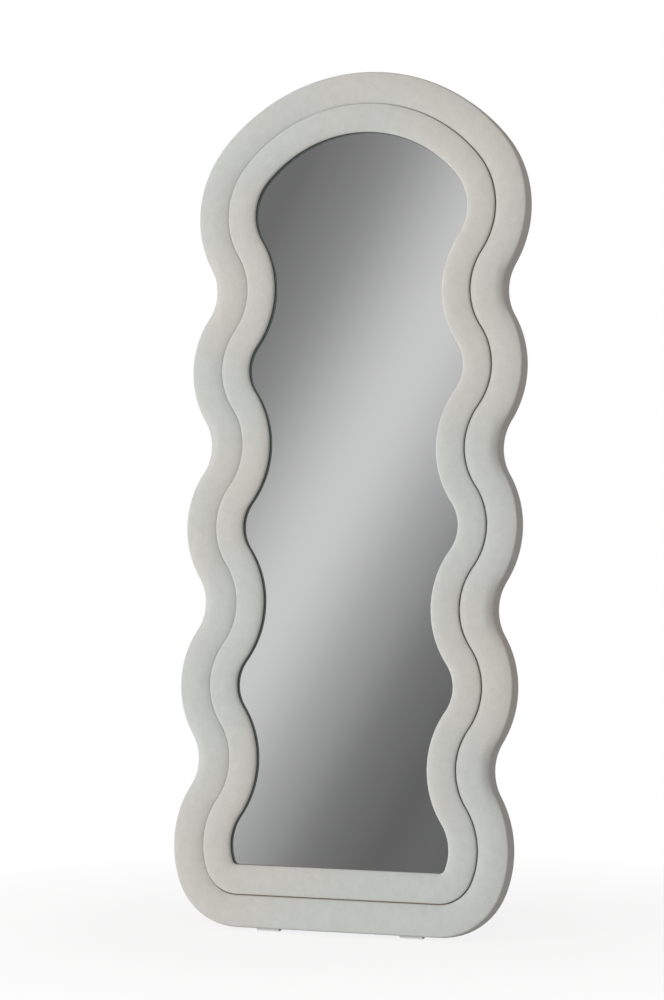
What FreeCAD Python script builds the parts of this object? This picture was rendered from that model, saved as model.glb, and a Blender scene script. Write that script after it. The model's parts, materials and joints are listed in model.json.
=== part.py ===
"""Floor mirror with a wavy frame of two upholstered rolls and a fold-out stand.

The panel is drawn upright in its own frame: X to the viewer's right, Y back through the panel
and Z up it, with Y = 0 at the outer roll's front edge and Z = 0 at its lowest line. It is then
leaned back and set on the floor. The stand is drawn about its pivot and swung out to its stop.
"""
import FreeCAD
import Part
import math
import os
import Sketcher

Vector = FreeCAD.Vector

SIZES = [
    # Stance
    ("lean", 6, "backward lean of the panel, degrees"),
    ("setback", 134, "from the panel's front edge line back to the origin"),
    # Line where the two rolls meet
    ("wave_count", 3, "full bulges on each side"),
    ("bulge_half_width", 265.6, "half width across the bulges"),
    ("bulge_radius", 129, "radius of a bulge"),
    ("neck_radius", 126, "radius of the hollow between two bulges"),
    ("arch_top", 1539.5, "top of the arch"),
    ("shoulder_drop", 203.5, "the arch's shoulders below its top"),
    ("shoulder_radius", 150, "radius of a shoulder"),
    ("shoulder_inset", 1.2, "edge of a shoulder inside the edge of the bulges"),
    ("foot_flare", 1.4, "edge of the lowest bulge outside the edge of the others"),
    ("foot_radius", 145, "radius of the lowest bulge"),
    ("foot_height", 154, "height of the lowest bulge"),
    ("corner_radius", 65, "radius of a bottom corner"),
    ("rail_bottom", 60.5, "height of the bottom line"),
    # Rolls
    ("outer_roll_width", 60.5, "width of the outer roll"),
    ("outer_neck_radius", 97, "hollow of the outer edge, where the cover bridges it"),
    ("inner_roll_width", 55, "width of the inner roll"),
    ("roll_gap", 0.6, "gap between the two rolls"),
    ("outer_crown", 10, "outer roll's crown in front of its edge"),
    ("inner_crown", 12, "inner roll's crown in front of the outer roll's edge"),
    ("outer_edge_round", 11, "rounding of the outer roll's outer edge"),
    ("outer_groove_round", 6, "rounding of the outer roll beside the groove"),
    ("inner_groove_round", 7, "rounding of the inner roll beside the groove"),
    ("inner_edge_round", 9, "rounding of the inner roll beside the glass"),
    ("side_padding", 4, "padding on the edge of the base ring"),
    ("layer_clearance", 0.2, "clearance of the padding round the base ring and of the floor pads"),
    # Boards
    ("base_front", 1, "depth of the base ring's front face"),
    ("base_thickness", 28, "thickness of the base ring"),
    ("tenon_length", 60, "length of a loose tenon"),
    ("tenon_width", 30, "width of a loose tenon"),
    ("tenon_thickness", 8, "thickness of a loose tenon"),
    ("tenon_inset", 28.5, "middle of a tenon outside the window for the glass"),
    ("wood_clearance", 0.1, "clearance round a tenon, a filler and the cross rail"),
    ("back_board_thickness", 4, "thickness of the back board"),
    ("back_board_inset", 13, "back board's edge inside the outer roll's edge"),
    # Glass and what backs it
    ("glass_lap", 4.7, "edge of the glass outside the groove line at the necks"),
    ("glass_top_inset", 39.5, "top edge of the glass below the top of the arch"),
    ("glass_bottom", 103, "bottom edge of the glass"),
    ("glass_top_radius", 110, "radius of the glass's top corners"),
    ("glass_bottom_radius", 8, "radius of the glass's bottom corners"),
    ("glass_thickness", 4, "thickness of the glass"),
    ("glass_clearance", 1.5, "clearance round the glass"),
    ("film_thickness", 0.4, "thickness of the safety film"),
    ("tape_thickness", 1.6, "thickness of the foam tape"),
    ("tape_width", 25, "width of a strip of foam tape"),
    ("tape_spread", 160, "distance of the outer strips from the middle"),
    ("tape_end_margin", 60, "strip's end inside the edge of the glass"),
    # Pivot of the stand
    ("pivot_drop", 351, "pivot below the arch's shoulders"),
    ("leg_inset", 44, "middle of a leg inside the edge of the glass"),
    ("cross_rail_height", 90, "height of the cross rail"),
    ("rail_lap", 20, "cross rail let into each stile"),
    ("tube_side", 14, "side of the square tube"),
    ("tube_wall", 1.5, "wall of the tube"),
    ("tube_bend_radius", 32, "radius of the tube's bends"),
    ("tube_tail", 14, "tube above the pivot, which meets the stop"),
    ("stand_slope", 6.6, "slope of the stand, degrees"),
    ("stop_clearance", 0.2, "clearance of the tail from its stop"),
    ("plug_length", 7, "length of a tube plug"),
    ("bracket_plate", 2, "sheet thickness of a pivot bracket"),
    ("bracket_width", 62, "width of a bracket's base"),
    ("bracket_height", 44, "height of a bracket's base"),
    ("bracket_corner", 5, "corner radius of a bracket's base"),
    ("ear_radius", 9, "radius of an ear round the bolt"),
    ("washer_thickness", 1, "thickness of a pivot washer"),
    ("washer_diameter", 13, "diameter of a pivot washer"),
    ("pivot_play", 0.15, "play beside each washer"),
    ("bolt_diameter", 6, "diameter of a pivot bolt"),
    ("bolt_fit", 0.05, "radial clearance round a pivot bolt"),
    ("spanner_size", 10, "bolt head and nut across their flats"),
    ("bolt_head_height", 4, "height of a pivot bolt's head"),
    ("nut_height", 5, "height of a nut"),
    ("bolt_end", 2, "bolt beyond its nut"),
    ("shoe_wall", 3, "wall of a rubber shoe"),
    ("shoe_sole", 2.5, "rubber between the foot bar and the floor"),
    ("shoe_length", 34, "length of a rubber shoe"),
    ("shoe_inset", 74, "middle of a shoe inside the middle of a leg"),
    ("shoe_clearance", 0.1, "clearance of a shoe and of a plug on the tube"),
    # Wall hangers
    ("hanger_inset", 35, "middle of a keyhole plate inside the back board's edge"),
    ("hanger_width", 20, "width of a keyhole plate"),
    ("hanger_height", 46, "height of a keyhole plate"),
    ("hanger_plate", 1.5, "thickness of a keyhole plate"),
    ("hanger_corner", 6, "corner radius of a keyhole plate"),
    ("slot_corner", 2.4, "corner radius of the keyhole's slot"),
    ("keyhole_entry", 9, "diameter of the keyhole's entry"),
    ("keyhole_slot", 5, "width of the keyhole's slot"),
    ("keyhole_rise", 10, "height of the slot above the entry"),
    ("keyhole_pocket", 10, "depth of the pocket behind the plate"),
    ("keyhole_margin", 2, "pocket beyond the keyhole"),
    ("hanger_screw_pitch", 35, "distance between a plate's two screws"),
    # Floor pads
    ("pad_spread", 140, "distance of a floor pad from the middle"),
    ("pad_length", 44, "length of a floor pad"),
    ("pad_front", 14, "depth of a floor pad's front edge"),
    ("pad_depth", 14, "floor pad from front to back"),
    ("pad_rear_thickness", 3.3, "thickness of a floor pad at the back"),
    ("pad_seat", 1, "floor pad left above its screw's head"),
    # Screws
    ("screw_sides", 8, "sides of a wood screw, round enough at its size"),
    ("screw_diameter", 4, "shank of every wood screw"),
    ("screw_head_diameter", 7.6, "head of every wood screw"),
    ("screw_head_height", 2.4, "height of every wood screw's head"),
    ("screw_fit", 0.05, "radial clearance round every wood screw"),
    ("board_screw_length", 18, "screws of the back board"),
    ("board_screw_inset", 12, "board screws inside the board's edge"),
    ("board_screw_spread", 110, "lower board screws from the middle"),
    ("bracket_screw_length", 16, "screws of the pivot brackets"),
    ("bracket_screw_spread", 22, "bracket screws from the leg's middle"),
    ("bracket_screw_rise", 14, "bracket screws above and below the pivot"),
    ("hanger_screw_length", 16, "screws of the keyhole plates"),
    ("pad_screw_length", 20, "screws of the floor pads"),
]

LAYOUT = [
    # Depths in the panel
    ("base_back", "Sheet.base_front + Sheet.base_thickness"),
    ("board_back", "Layout.base_back + Sheet.back_board_thickness"),
    ("glass_back", "Sheet.base_front + Sheet.glass_thickness"),
    ("film_back", "Layout.glass_back + Sheet.film_thickness"),
    ("tape_back", "Layout.film_back + Sheet.tape_thickness"),
    # Outlines, measured outwards from the groove line
    ("half_gap", "Sheet.roll_gap / 2"),
    ("base_grow", "Sheet.outer_roll_width - Sheet.side_padding"),
    ("base_neck", "Sheet.outer_neck_radius + Sheet.side_padding"),
    ("wrap_grow", "Layout.base_grow + Sheet.layer_clearance"),
    ("wrap_neck", "Layout.base_neck - Sheet.layer_clearance"),
    ("board_grow", "Sheet.outer_roll_width - Sheet.back_board_inset"),
    ("board_neck", "Sheet.outer_neck_radius + Sheet.back_board_inset"),
    ("panel_bottom", "Sheet.rail_bottom - Sheet.outer_roll_width"),
    # Heights up the panel
    ("shoulder_height", "Sheet.arch_top - Sheet.shoulder_drop"),
    ("wave_pitch", "(Layout.shoulder_height - Sheet.foot_height) / (Sheet.wave_count + 1)"),
    ("upper_joint_height", "Layout.shoulder_height - Layout.wave_pitch / 2"),
    ("lower_joint_height", "Sheet.foot_height + Layout.wave_pitch / 2"),
    ("glass_top", "Sheet.arch_top - Sheet.glass_top_inset"),
    ("pivot_height", "Layout.shoulder_height - Sheet.pivot_drop"),
    # Widths that follow the necks
    ("neck_reach", "Sheet.bulge_radius + Sheet.neck_radius"),
    ("neck_aside", "sqrt(Layout.neck_reach ^ 2 - (Layout.wave_pitch / 2) ^ 2)"),
    ("neck_half_width", "Sheet.bulge_half_width - Sheet.bulge_radius + Layout.neck_aside"
                        " - Sheet.neck_radius"),
    ("glass_half_width", "Layout.neck_half_width + Sheet.glass_lap"),
    ("tenon_centre", "Layout.glass_half_width + Sheet.glass_clearance + Sheet.tenon_inset"),
    ("leg_spread", "Layout.glass_half_width - Sheet.leg_inset"),
    ("shoe_spread", "Layout.leg_spread - Sheet.shoe_inset"),
    ("foot_half_width", "Sheet.bulge_half_width + Sheet.foot_flare"),
    # The arch touches both shoulders
    ("shoulder_half_width", "Sheet.bulge_half_width - Sheet.shoulder_inset"),
    ("shoulder_x", "Layout.shoulder_half_width - Sheet.shoulder_radius"),
    ("arch_radius", "(Layout.shoulder_x ^ 2 + Sheet.shoulder_drop ^ 2 - Sheet.shoulder_radius ^ 2)"
                    " / (2 * (Sheet.shoulder_drop - Sheet.shoulder_radius))"),
    ("hanger_spread", "Layout.shoulder_half_width + Layout.board_grow - Sheet.hanger_inset"),
    # Floor contact and pivot, in the panel's frame
    ("pad_back", "Sheet.pad_front + Sheet.pad_depth"),
    ("pad_top", "Layout.panel_bottom - Sheet.layer_clearance"),
    ("pad_low", "Layout.pad_top - Sheet.pad_rear_thickness"),
    ("lift", "Layout.pad_back * sin(Sheet.lean) - Layout.pad_low * cos(Sheet.lean)"),
    ("half_tube", "Sheet.tube_side / 2"),
    ("foot_bar_height", "Layout.half_tube + Sheet.shoe_sole"),
    # The pivot, as far off the board as the tube's tail needs at its stop
    ("swing", "Sheet.lean + Sheet.stand_slope"),
    ("pivot_offset", "Layout.half_tube * cos(Layout.swing) + Sheet.tube_tail * sin(Layout.swing)"
                     " + Sheet.stop_clearance"),
    ("pivot_depth", "Layout.board_back + Sheet.bracket_plate + Layout.pivot_offset"),
    # The pivot in the floor's frame and the stand down to the floor
    ("pivot_y", "Layout.pivot_height * sin(Sheet.lean) + Layout.pivot_depth * cos(Sheet.lean)"
                " - Sheet.setback"),
    ("pivot_z", "Layout.lift + Layout.pivot_height * cos(Sheet.lean) - Layout.pivot_depth * sin(Sheet.lean)"),
    ("stand_length", "(Layout.pivot_z - Layout.foot_bar_height) / cos(Sheet.stand_slope)"),
    ("foot_bar_y", "Layout.pivot_y + Layout.stand_length * sin(Sheet.stand_slope)"),
    # Across the pivot
    ("ear_inside", "Layout.half_tube + Sheet.washer_thickness + 2 * Sheet.pivot_play"),
    ("ear_outside", "Layout.ear_inside + Sheet.bracket_plate"),
]

doc = FreeCAD.newDocument("floor_mirror")
sheet = doc.addObject("Spreadsheet::Sheet", "Sheet")
for row, (alias, value, meaning) in enumerate(SIZES, start=1):
    sheet.set(f"A{row}", alias)
    sheet.set(f"B{row}", str(value))
    sheet.set(f"C{row}", meaning)
    sheet.setAlias(f"B{row}", alias)
doc.recompute()
layout = doc.addObject("App::VarSet", "Layout")
for name, formula in LAYOUT:
    layout.addProperty("App::PropertyFloat", name, "Layout")
    layout.setExpression(name, formula)
doc.recompute()

SIDES = (("left", -1), ("right", 1))
START, END, CENTRE = range(1, 4)
ORIGIN = (-1, START)
nodes = {}
TINY = 1e-4


def size(expression):
    """The present value of an expression of the sheet."""
    value = layout.evalExpression(expression)
    return float(getattr(value, "Value", value))


def keep(label, thing):
    """Names a finished piece, which is then written out under that name."""
    thing.Label = label
    nodes[label] = thing
    return thing


def lean_back(thing):
    """Leans a piece of the panel back and sets it on its floor pads."""
    thing.Placement = FreeCAD.Placement(Vector(), FreeCAD.Rotation(Vector(1, 0, 0), -1))
    thing.setExpression("Placement.Rotation.Angle", "-Sheet.lean")
    thing.setExpression("Placement.Base.y", "-Sheet.setback")
    thing.setExpression("Placement.Base.z", "Layout.lift")
    return thing


def swing_out(thing):
    """Turns a piece of the stand about its pivot to the rest position."""
    thing.Placement = FreeCAD.Placement(Vector(), FreeCAD.Rotation(Vector(1, 0, 0), 1))
    thing.setExpression("Placement.Rotation.Angle", "Sheet.stand_slope")
    thing.setExpression("Placement.Base.y", "Layout.pivot_y")
    thing.setExpression("Placement.Base.z", "Layout.pivot_z")
    return thing


# Sketches

def new_body(name):
    return doc.addObject("PartDesign::Body", name)


def new_sketch(body, name, role, offset="0"):
    """A sketch on one of the body's own planes, moved along the plane's normal."""
    sketch = body.newObject("Sketcher::SketchObject", name)
    plane = next(one for one in body.Origin.OriginFeatures if one.Role == role)
    sketch.AttachmentSupport = [(plane, "")]
    sketch.MapMode = "FlatFace"
    sketch.setExpression("AttachmentOffset.Base.z", offset)
    return sketch


def panel_sketch(body, name, depth):
    """A sketch parallel to the panel's face at a given depth. Its normal points to the front."""
    return new_sketch(body, name, "XZ_Plane", f"-({depth})")


def dimension(sketch, kind, name, formula, *points):
    """A named constraint whose value follows a formula of the sheet."""
    number = sketch.addConstraint(Sketcher.Constraint(kind, *points, size(formula)))
    sketch.renameConstraint(number, name)
    sketch.setExpression(f"Constraints.{name}", formula)


def tie(sketch, kind, *points):
    sketch.addConstraint(Sketcher.Constraint(kind, *points))


def add_arc(sketch, circle, start, end):
    """An arc of the circle (x, z, radius), anticlockwise from the start angle to the end angle."""
    full = 2 * math.pi
    end = start + (end - start) % full
    x, z, radius = circle
    whole = Part.Circle(Vector(x, z), Vector(0, 0, 1), radius)
    return sketch.addGeometry(Part.ArcOfCircle(whole, start, end))


def circle_beside(upper, lower, radius):
    """The circle of that radius that touches both circles from the right."""
    upper_reach = upper[2] + radius
    lower_reach = lower[2] + radius
    across = lower[0] - upper[0]
    down = lower[1] - upper[1]
    apart = math.hypot(across, down)
    along = (upper_reach ** 2 - lower_reach ** 2 + apart ** 2) / (2 * apart)
    aside = math.sqrt(upper_reach ** 2 - along ** 2)
    x = upper[0] + (along * across - aside * down) / apart
    z = upper[1] + (along * down + aside * across) / apart
    return (x, z, radius)


def touch_angle(circle, other):
    """The angle at which a circle touches another, beside it or inside it or around it."""
    across = other[0] - circle[0]
    rise = other[1] - circle[1]
    if math.hypot(across, rise) < other[2] - circle[2] + TINY:
        return math.atan2(-rise, -across)
    return math.atan2(rise, across)


def side_circles(grow, neck):
    """The circles down the right side, each with the formulas that fix it: radius, x and z."""
    shoulder_radius = f"Sheet.shoulder_radius + {grow}"
    shoulder_z = size("Layout.shoulder_height")
    shoulder_x = size("Layout.shoulder_x")
    fixed = (shoulder_radius, None, "Layout.shoulder_height")
    rounds = [((shoulder_x, shoulder_z, size(shoulder_radius)), fixed)]
    for number in range(1, int(size("Sheet.wave_count")) + 1):
        fixed = (
            f"Sheet.bulge_radius + {grow}",
            "Sheet.bulge_half_width - Sheet.bulge_radius",
            f"Layout.shoulder_height - Layout.wave_pitch * {number}",
        )
        rounds.append(((size(fixed[1]), size(fixed[2]), size(fixed[0])), fixed))
    fixed = (
        f"Sheet.foot_radius + {grow}",
        "Layout.foot_half_width - Sheet.foot_radius",
        "Sheet.foot_height",
    )
    foot = (size(fixed[1]), size(fixed[2]), size(fixed[0]))
    rounds.append((foot, fixed))
    chain = rounds[:1]
    for upper, lower in zip(rounds, rounds[1:]):
        hollow = circle_beside(upper[0], lower[0], size(neck))
        chain.append((hollow, (neck, None, None)))
        chain.append(lower)
    corner_radius = f"Sheet.corner_radius + {grow}"
    corner_reach = foot[2] - size(corner_radius)
    corner_z = size(f"Sheet.rail_bottom - ({grow})") + size(corner_radius)
    corner_x = foot[0] + math.sqrt(corner_reach ** 2 - (corner_z - foot[1]) ** 2)
    chain.append(((corner_x, corner_z, size(corner_radius)), (corner_radius, None, None)))
    return chain


def draw_outline(sketch, name, grow, neck):
    """The wavy outline as tangent arcs, grown outwards from the groove line.

    The necks have a radius of their own. Each is held by the two bulges that it touches, the
    shoulders hang on the arch and the corners rest on the bottom line.
    """
    arch_centre = "Sheet.arch_top - Layout.arch_radius"
    arch_radius = f"Layout.arch_radius + {grow}"
    floor = f"Sheet.rail_bottom - ({grow})"
    arch = (0.0, size(arch_centre), size(arch_radius))
    chain = side_circles(grow, neck)
    corner = chain[-1][0]
    shoulder_touch = touch_angle(arch, chain[0][0])
    top = add_arc(sketch, arch, shoulder_touch, math.pi - shoulder_touch)
    line = sketch.addGeometry(
        Part.LineSegment(Vector(-corner[0], size(floor)), Vector(corner[0], size(floor))))
    tie(sketch, "PointOnObject", top, CENTRE, -2)
    dimension(sketch, "DistanceY", f"{name}_arch_centre", arch_centre, *ORIGIN, top, CENTRE)
    dimension(sketch, "Radius", f"{name}_arch_radius", arch_radius, top)
    tie(sketch, "Horizontal", line)
    dimension(sketch, "DistanceY", f"{name}_floor", floor, *ORIGIN, line, START)
    for (side, sign), top_end, line_end in zip(SIDES, (END, START), (START, END)):
        circles = [(sign * x, z, radius) for (x, z, radius), fixed in chain]
        above = arch
        last_geometry, last_end = top, top_end
        for number, circle in enumerate(circles):
            is_neck = chain[number][1][0] == neck
            upper_angle = touch_angle(circle, above)
            lower_angle = -math.pi / 2
            if number + 1 < len(circles):
                lower_angle = touch_angle(circle, circles[number + 1])
            climbs = (sign > 0) != is_neck
            if climbs:
                arc = add_arc(sketch, circle, lower_angle, upper_angle)
                upper_end, lower_end = END, START
            else:
                arc = add_arc(sketch, circle, upper_angle, lower_angle)
                upper_end, lower_end = START, END
            tie(sketch, "Tangent", last_geometry, last_end, arc, upper_end)
            hold_circle(sketch, f"{name}_{side}_{number}", arc, sign, chain[number][1])
            last_geometry, last_end = arc, lower_end
            above = circle
        tie(sketch, "Tangent", last_geometry, last_end, line, line_end)


def hold_circle(sketch, name, arc, sign, fixed):
    """Binds an arc's radius, and its centre where the neighbours don't settle it."""
    radius, x, z = fixed
    dimension(sketch, "Radius", f"{name}_radius", radius, arc)
    if x and sign > 0:
        dimension(sketch, "DistanceX", f"{name}_x", x, *ORIGIN, arc, CENTRE)
    elif x:
        dimension(sketch, "DistanceX", f"{name}_x", x, arc, CENTRE, *ORIGIN)
    if z:
        dimension(sketch, "DistanceY", f"{name}_z", z, *ORIGIN, arc, CENTRE)


def draw_rounded(sketch, name, left, right, bottom, top, low_radius, high_radius):
    """A rectangle with rounded corners, held by its four sides and two corner radii."""
    sides = [size(one) for one in (left, right, bottom, top)]
    low, high = size(low_radius), size(high_radius)
    corners = [
        (sides[0] + low, sides[2] + low, low, math.pi),
        (sides[1] - low, sides[2] + low, low, 1.5 * math.pi),
        (sides[1] - high, sides[3] - high, high, 0.0),
        (sides[0] + high, sides[3] - high, high, 0.5 * math.pi),
    ]
    arcs = [add_arc(sketch, one[:3], one[3], one[3] + math.pi / 2) for one in corners]
    for number, arc in enumerate(arcs):
        follower = arcs[(number + 1) % 4]
        start = sketch.Geometry[arc].EndPoint
        end = sketch.Geometry[follower].StartPoint
        line = sketch.addGeometry(Part.LineSegment(start, end))
        tie(sketch, "Tangent", arc, END, line, START)
        tie(sketch, "Tangent", line, END, follower, START)
        tie(sketch, "Horizontal" if number % 2 == 0 else "Vertical", line)
        place, axis = ((bottom, "Y"), (right, "X"), (top, "Y"), (left, "X"))[number]
        dimension(sketch, f"Distance{axis}", f"{name}_side_{number}", place, *ORIGIN, line, START)
    dimension(sketch, "Radius", f"{name}_low", low_radius, arcs[0])
    dimension(sketch, "Radius", f"{name}_high", high_radius, arcs[2])
    tie(sketch, "Equal", arcs[0], arcs[1])
    tie(sketch, "Equal", arcs[2], arcs[3])


def draw_rectangle(sketch, name, left, right, bottom, top):
    """A rectangle held by its four sides."""
    x0, x1, y0, y1 = size(left), size(right), size(bottom), size(top)
    corners = [Vector(x0, y0), Vector(x1, y0), Vector(x1, y1), Vector(x0, y1)]
    lines = [sketch.addGeometry(Part.LineSegment(corners[number], corners[(number + 1) % 4]))
             for number in range(4)]
    for number, line in enumerate(lines):
        tie(sketch, "Coincident", line, END, lines[(number + 1) % 4], START)
        tie(sketch, "Horizontal" if number % 2 == 0 else "Vertical", line)
        place, axis = ((bottom, "Y"), (right, "X"), (top, "Y"), (left, "X"))[number]
        dimension(sketch, f"Distance{axis}", f"{name}_side_{number}", place, *ORIGIN, line, START)


def draw_circle(sketch, name, x, y, radius):
    """A circle held by its centre and radius."""
    circle = sketch.addGeometry(Part.Circle(Vector(size(x), size(y)), Vector(0, 0, 1), size(radius)))
    for axis, place in (("X", x), ("Y", y)):
        dimension(sketch, f"Distance{axis}", f"{name}_{axis.lower()}", place, *ORIGIN, circle, CENTRE)
    dimension(sketch, "Radius", f"{name}_radius", radius, circle)


# Features

def pad(body, sketch, length, midplane=False):
    feature = body.newObject("PartDesign::Pad", sketch.Name + "_pad")
    feature.Profile = sketch
    feature.Midplane = midplane
    feature.setExpression("Length", length)
    doc.recompute()
    return feature


def pocket(body, sketch, length):
    """Cuts towards the side that the sketch's normal points to."""
    before = body.Shape.Volume
    feature = body.newObject("PartDesign::Pocket", sketch.Name + "_pocket")
    feature.Profile = sketch
    feature.Reversed = True
    feature.setExpression("Length", length)
    doc.recompute()
    if body.Shape.Volume > before - 1e-6:
        raise RuntimeError(f"{feature.Name} cuts nothing")
    return feature


def loops_at(shape, depth):
    """The edge loops of a shape's front face at a depth, the longest first."""
    face = next(one for one in shape.Faces if abs(one.BoundBox.YMin - depth) < TINY
                and one.BoundBox.YLength < TINY)
    return sorted(face.Wires, key=lambda wire: -wire.Length)


def edge_names(shape, edges):
    """The names that a shape gives to edges."""
    names = []
    for number, edge in enumerate(shape.Edges, start=1):
        if any(edge.isSame(one) for one in edges):
            names.append(f"Edge{number}")
    return names


def chamfer(body, base, edges, distance):
    feature = body.newObject("PartDesign::Chamfer", "bevel")
    feature.Base = (base, edge_names(base.Shape, edges))
    feature.setExpression("Size", distance)
    doc.recompute()
    return feature


def round_over(body, base, loop_number, radius, fine=True):
    """Rounds a front edge loop with three flats that touch an arc of the radius, or with one."""
    corner_share = 2 - math.sqrt(2)
    facet_share = math.tan(math.pi / 8) - math.tan(math.pi / 16)
    front = base.Shape.BoundBox.YMin
    loop = loops_at(base.Shape, front)[loop_number]
    first = chamfer(body, base, loop.Edges, f"{radius} * {corner_share}")
    if not fine:
        return first
    depth = front + size(radius) * corner_share
    crease = [one for one in first.Shape.Edges
              if abs(one.BoundBox.YMin - depth) < TINY and one.BoundBox.YLength < TINY]
    rim = loops_at(first.Shape, front)[loop_number]
    near = [one for one in crease if one.distToShape(rim)[0] < size(radius)]
    return chamfer(body, first, rim.Edges + near, f"{radius} * {facet_share}")


def cut(base, tools):
    """A piece with the shapes of other pieces taken out of it."""
    feature = doc.addObject("Part::Cut", "cut")
    feature.Base = base
    feature.Tool = tools[0] if len(tools) == 1 else gather(tools)
    doc.recompute()
    return feature


def gather(things):
    feature = doc.addObject("Part::Compound", "group")
    feature.Links = things
    doc.recompute()
    return feature


def box(name, x, y, z, length, width, height):
    """A box from its lowest corner."""
    feature = doc.addObject("Part::Box", name)
    for axis, place in zip("xyz", (x, y, z)):
        feature.setExpression(f"Placement.Base.{axis}", place)
    for side, extent in zip(("Length", "Width", "Height"), (length, width, height)):
        feature.setExpression(side, extent)
    doc.recompute()
    return feature


def cylinder_across(name, x, radius, length):
    """A cylinder along X about the stand's pivot, from x onwards."""
    feature = doc.addObject("Part::Cylinder", name)
    feature.Placement = FreeCAD.Placement(Vector(), FreeCAD.Rotation(Vector(0, 1, 0), 90))
    feature.setExpression("Placement.Base.x", x)
    feature.setExpression("Radius", radius)
    feature.setExpression("Height", length)
    doc.recompute()
    return feature


# Upholstery

def ring(name, front, back, outer, inner):
    """A ring between two wavy outlines, each given as how far it is grown and its neck radius."""
    body = new_body(name)
    outside = panel_sketch(body, name + "_outside", back)
    draw_outline(outside, "outside", *outer)
    pad(body, outside, f"({back}) - ({front})")
    inside = panel_sketch(body, name + "_inside", back)
    draw_outline(inside, "inside", *inner)
    pocket(body, inside, f"({back}) - ({front})")
    return body


def make_outer_roll(pad_holes):
    """The outer roll wraps over the front and the edge of the base ring."""
    groove = ("Layout.half_gap", "Sheet.neck_radius - Layout.half_gap")
    edge = ("Sheet.outer_roll_width", "Sheet.outer_neck_radius")
    body = ring("outer_ring", "-Sheet.outer_crown", "Layout.base_back", edge, groove)
    channel = panel_sketch(body, "base_channel", "Layout.base_back")
    draw_outline(channel, "channel", "Layout.wrap_grow", "Layout.wrap_neck")
    pocket(body, channel, "Sheet.base_thickness")
    rounded = round_over(body, body.Tip, 0, "Sheet.outer_edge_round")
    round_over(body, rounded, 1, "Sheet.outer_groove_round", fine=False)
    lean_back(keep("outer_roll", cut(body, [pad_holes])))


def make_inner_roll():
    """The inner roll lies on the base ring and laps over the edge of the glass."""
    groove = ("-Layout.half_gap", "Sheet.neck_radius + Layout.half_gap")
    edge = ("-Sheet.inner_roll_width", "Sheet.neck_radius + Sheet.inner_roll_width")
    body = ring("inner_ring", "-Sheet.inner_crown", "Sheet.base_front", groove, edge)
    rounded = round_over(body, body.Tip, 1, "Sheet.inner_edge_round")
    round_over(body, rounded, 0, "Sheet.inner_groove_round", fine=False)
    lean_back(keep("inner_roll", body))


# Boards

def draw_pane(sketch, grow):
    """The outline of the glass, grown by a clearance."""
    half = f"Layout.glass_half_width + {grow}"
    draw_rounded(sketch, "pane", f"-({half})", half, f"Sheet.glass_bottom - ({grow})",
                 f"Layout.glass_top + {grow}", f"Sheet.glass_bottom_radius + {grow}",
                 f"Sheet.glass_top_radius + {grow}")


def make_pane(name, front, back, grow):
    body = new_body(name)
    sketch = panel_sketch(body, name + "_outline", back)
    draw_pane(sketch, grow)
    pad(body, sketch, f"({back}) - ({front})")
    return body


def common(base, tool):
    feature = doc.addObject("Part::Common", "common")
    feature.Base = base
    feature.Tool = tool
    doc.recompute()
    return feature


def joint_places():
    """The middle of each joint of the base ring: x and height."""
    return [(f"{sign} * Layout.tenon_centre", height)
            for side, sign in SIDES
            for height in ("Layout.upper_joint_height", "Layout.lower_joint_height")]


def tenon_set(name, clearance):
    """The loose tenons, or with a clearance the mortises that they fit."""
    boxes = []
    for number, (x, z) in enumerate(joint_places()):
        middle = "Sheet.base_front + Sheet.base_thickness / 2"
        boxes.append(box(
            f"{name}_{number}",
            f"{x} - Sheet.tenon_width / 2 - {clearance}",
            f"{middle} - Sheet.tenon_thickness / 2 - {clearance}",
            f"{z} - Sheet.tenon_length / 2 - {clearance}",
            f"Sheet.tenon_width + 2 * {clearance}",
            f"Sheet.tenon_thickness + 2 * {clearance}",
            f"Sheet.tenon_length + 2 * {clearance}"))
    return gather(boxes)


def make_base(holes, rail_housing):
    """The base ring: an arch, two stiles and a bottom rail round the glass, joined by loose tenons."""
    body = new_body("base_ring")
    outside = panel_sketch(body, "base_outside", "Layout.base_back")
    draw_outline(outside, "outside", "Layout.base_grow", "Layout.base_neck")
    pad(body, outside, "Sheet.base_thickness")
    window = panel_sketch(body, "base_window", "Layout.base_back")
    draw_pane(window, "Sheet.glass_clearance")
    pocket(body, window, "Sheet.base_thickness")
    drilled = cut(body, holes + [rail_housing, tenon_set("mortise", "Sheet.wood_clearance")])
    reach = "Sheet.bulge_half_width + Layout.foot_half_width + Sheet.outer_roll_width"
    depth = "Layout.board_back"
    top = "Sheet.arch_top + Sheet.outer_roll_width"
    pieces = {
        "base_top_arch": (f"-({reach})", "Layout.upper_joint_height", f"2 * ({reach})",
                          f"{top} - Layout.upper_joint_height"),
        "base_left_stile": (f"-({reach})", "Layout.lower_joint_height", reach,
                            "Layout.upper_joint_height - Layout.lower_joint_height"),
        "base_right_stile": ("0", "Layout.lower_joint_height", reach,
                             "Layout.upper_joint_height - Layout.lower_joint_height"),
        "base_bottom_rail": (f"-({reach})", "Layout.panel_bottom", f"2 * ({reach})",
                             "Layout.lower_joint_height - Layout.panel_bottom"),
    }
    for label, (x, z, length, height) in pieces.items():
        region = box(label + "_region", x, "0", z, length, depth, height)
        lean_back(keep(label, common(drilled, region)))
    lean_back(keep("joint_tenons", tenon_set("tenon", "0")))


def rail_box(name, clearance):
    """The cross rail let into both stiles, or with a clearance its housing."""
    reach = f"Layout.glass_half_width + Sheet.glass_clearance + Sheet.rail_lap + {clearance}"
    return box(name, f"-({reach})", f"Layout.tape_back - {clearance}",
               f"Layout.pivot_height - Sheet.cross_rail_height / 2 - {clearance}",
               f"2 * ({reach})", f"Layout.base_back - Layout.tape_back + {clearance}",
               f"Sheet.cross_rail_height + 2 * {clearance}")


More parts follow.
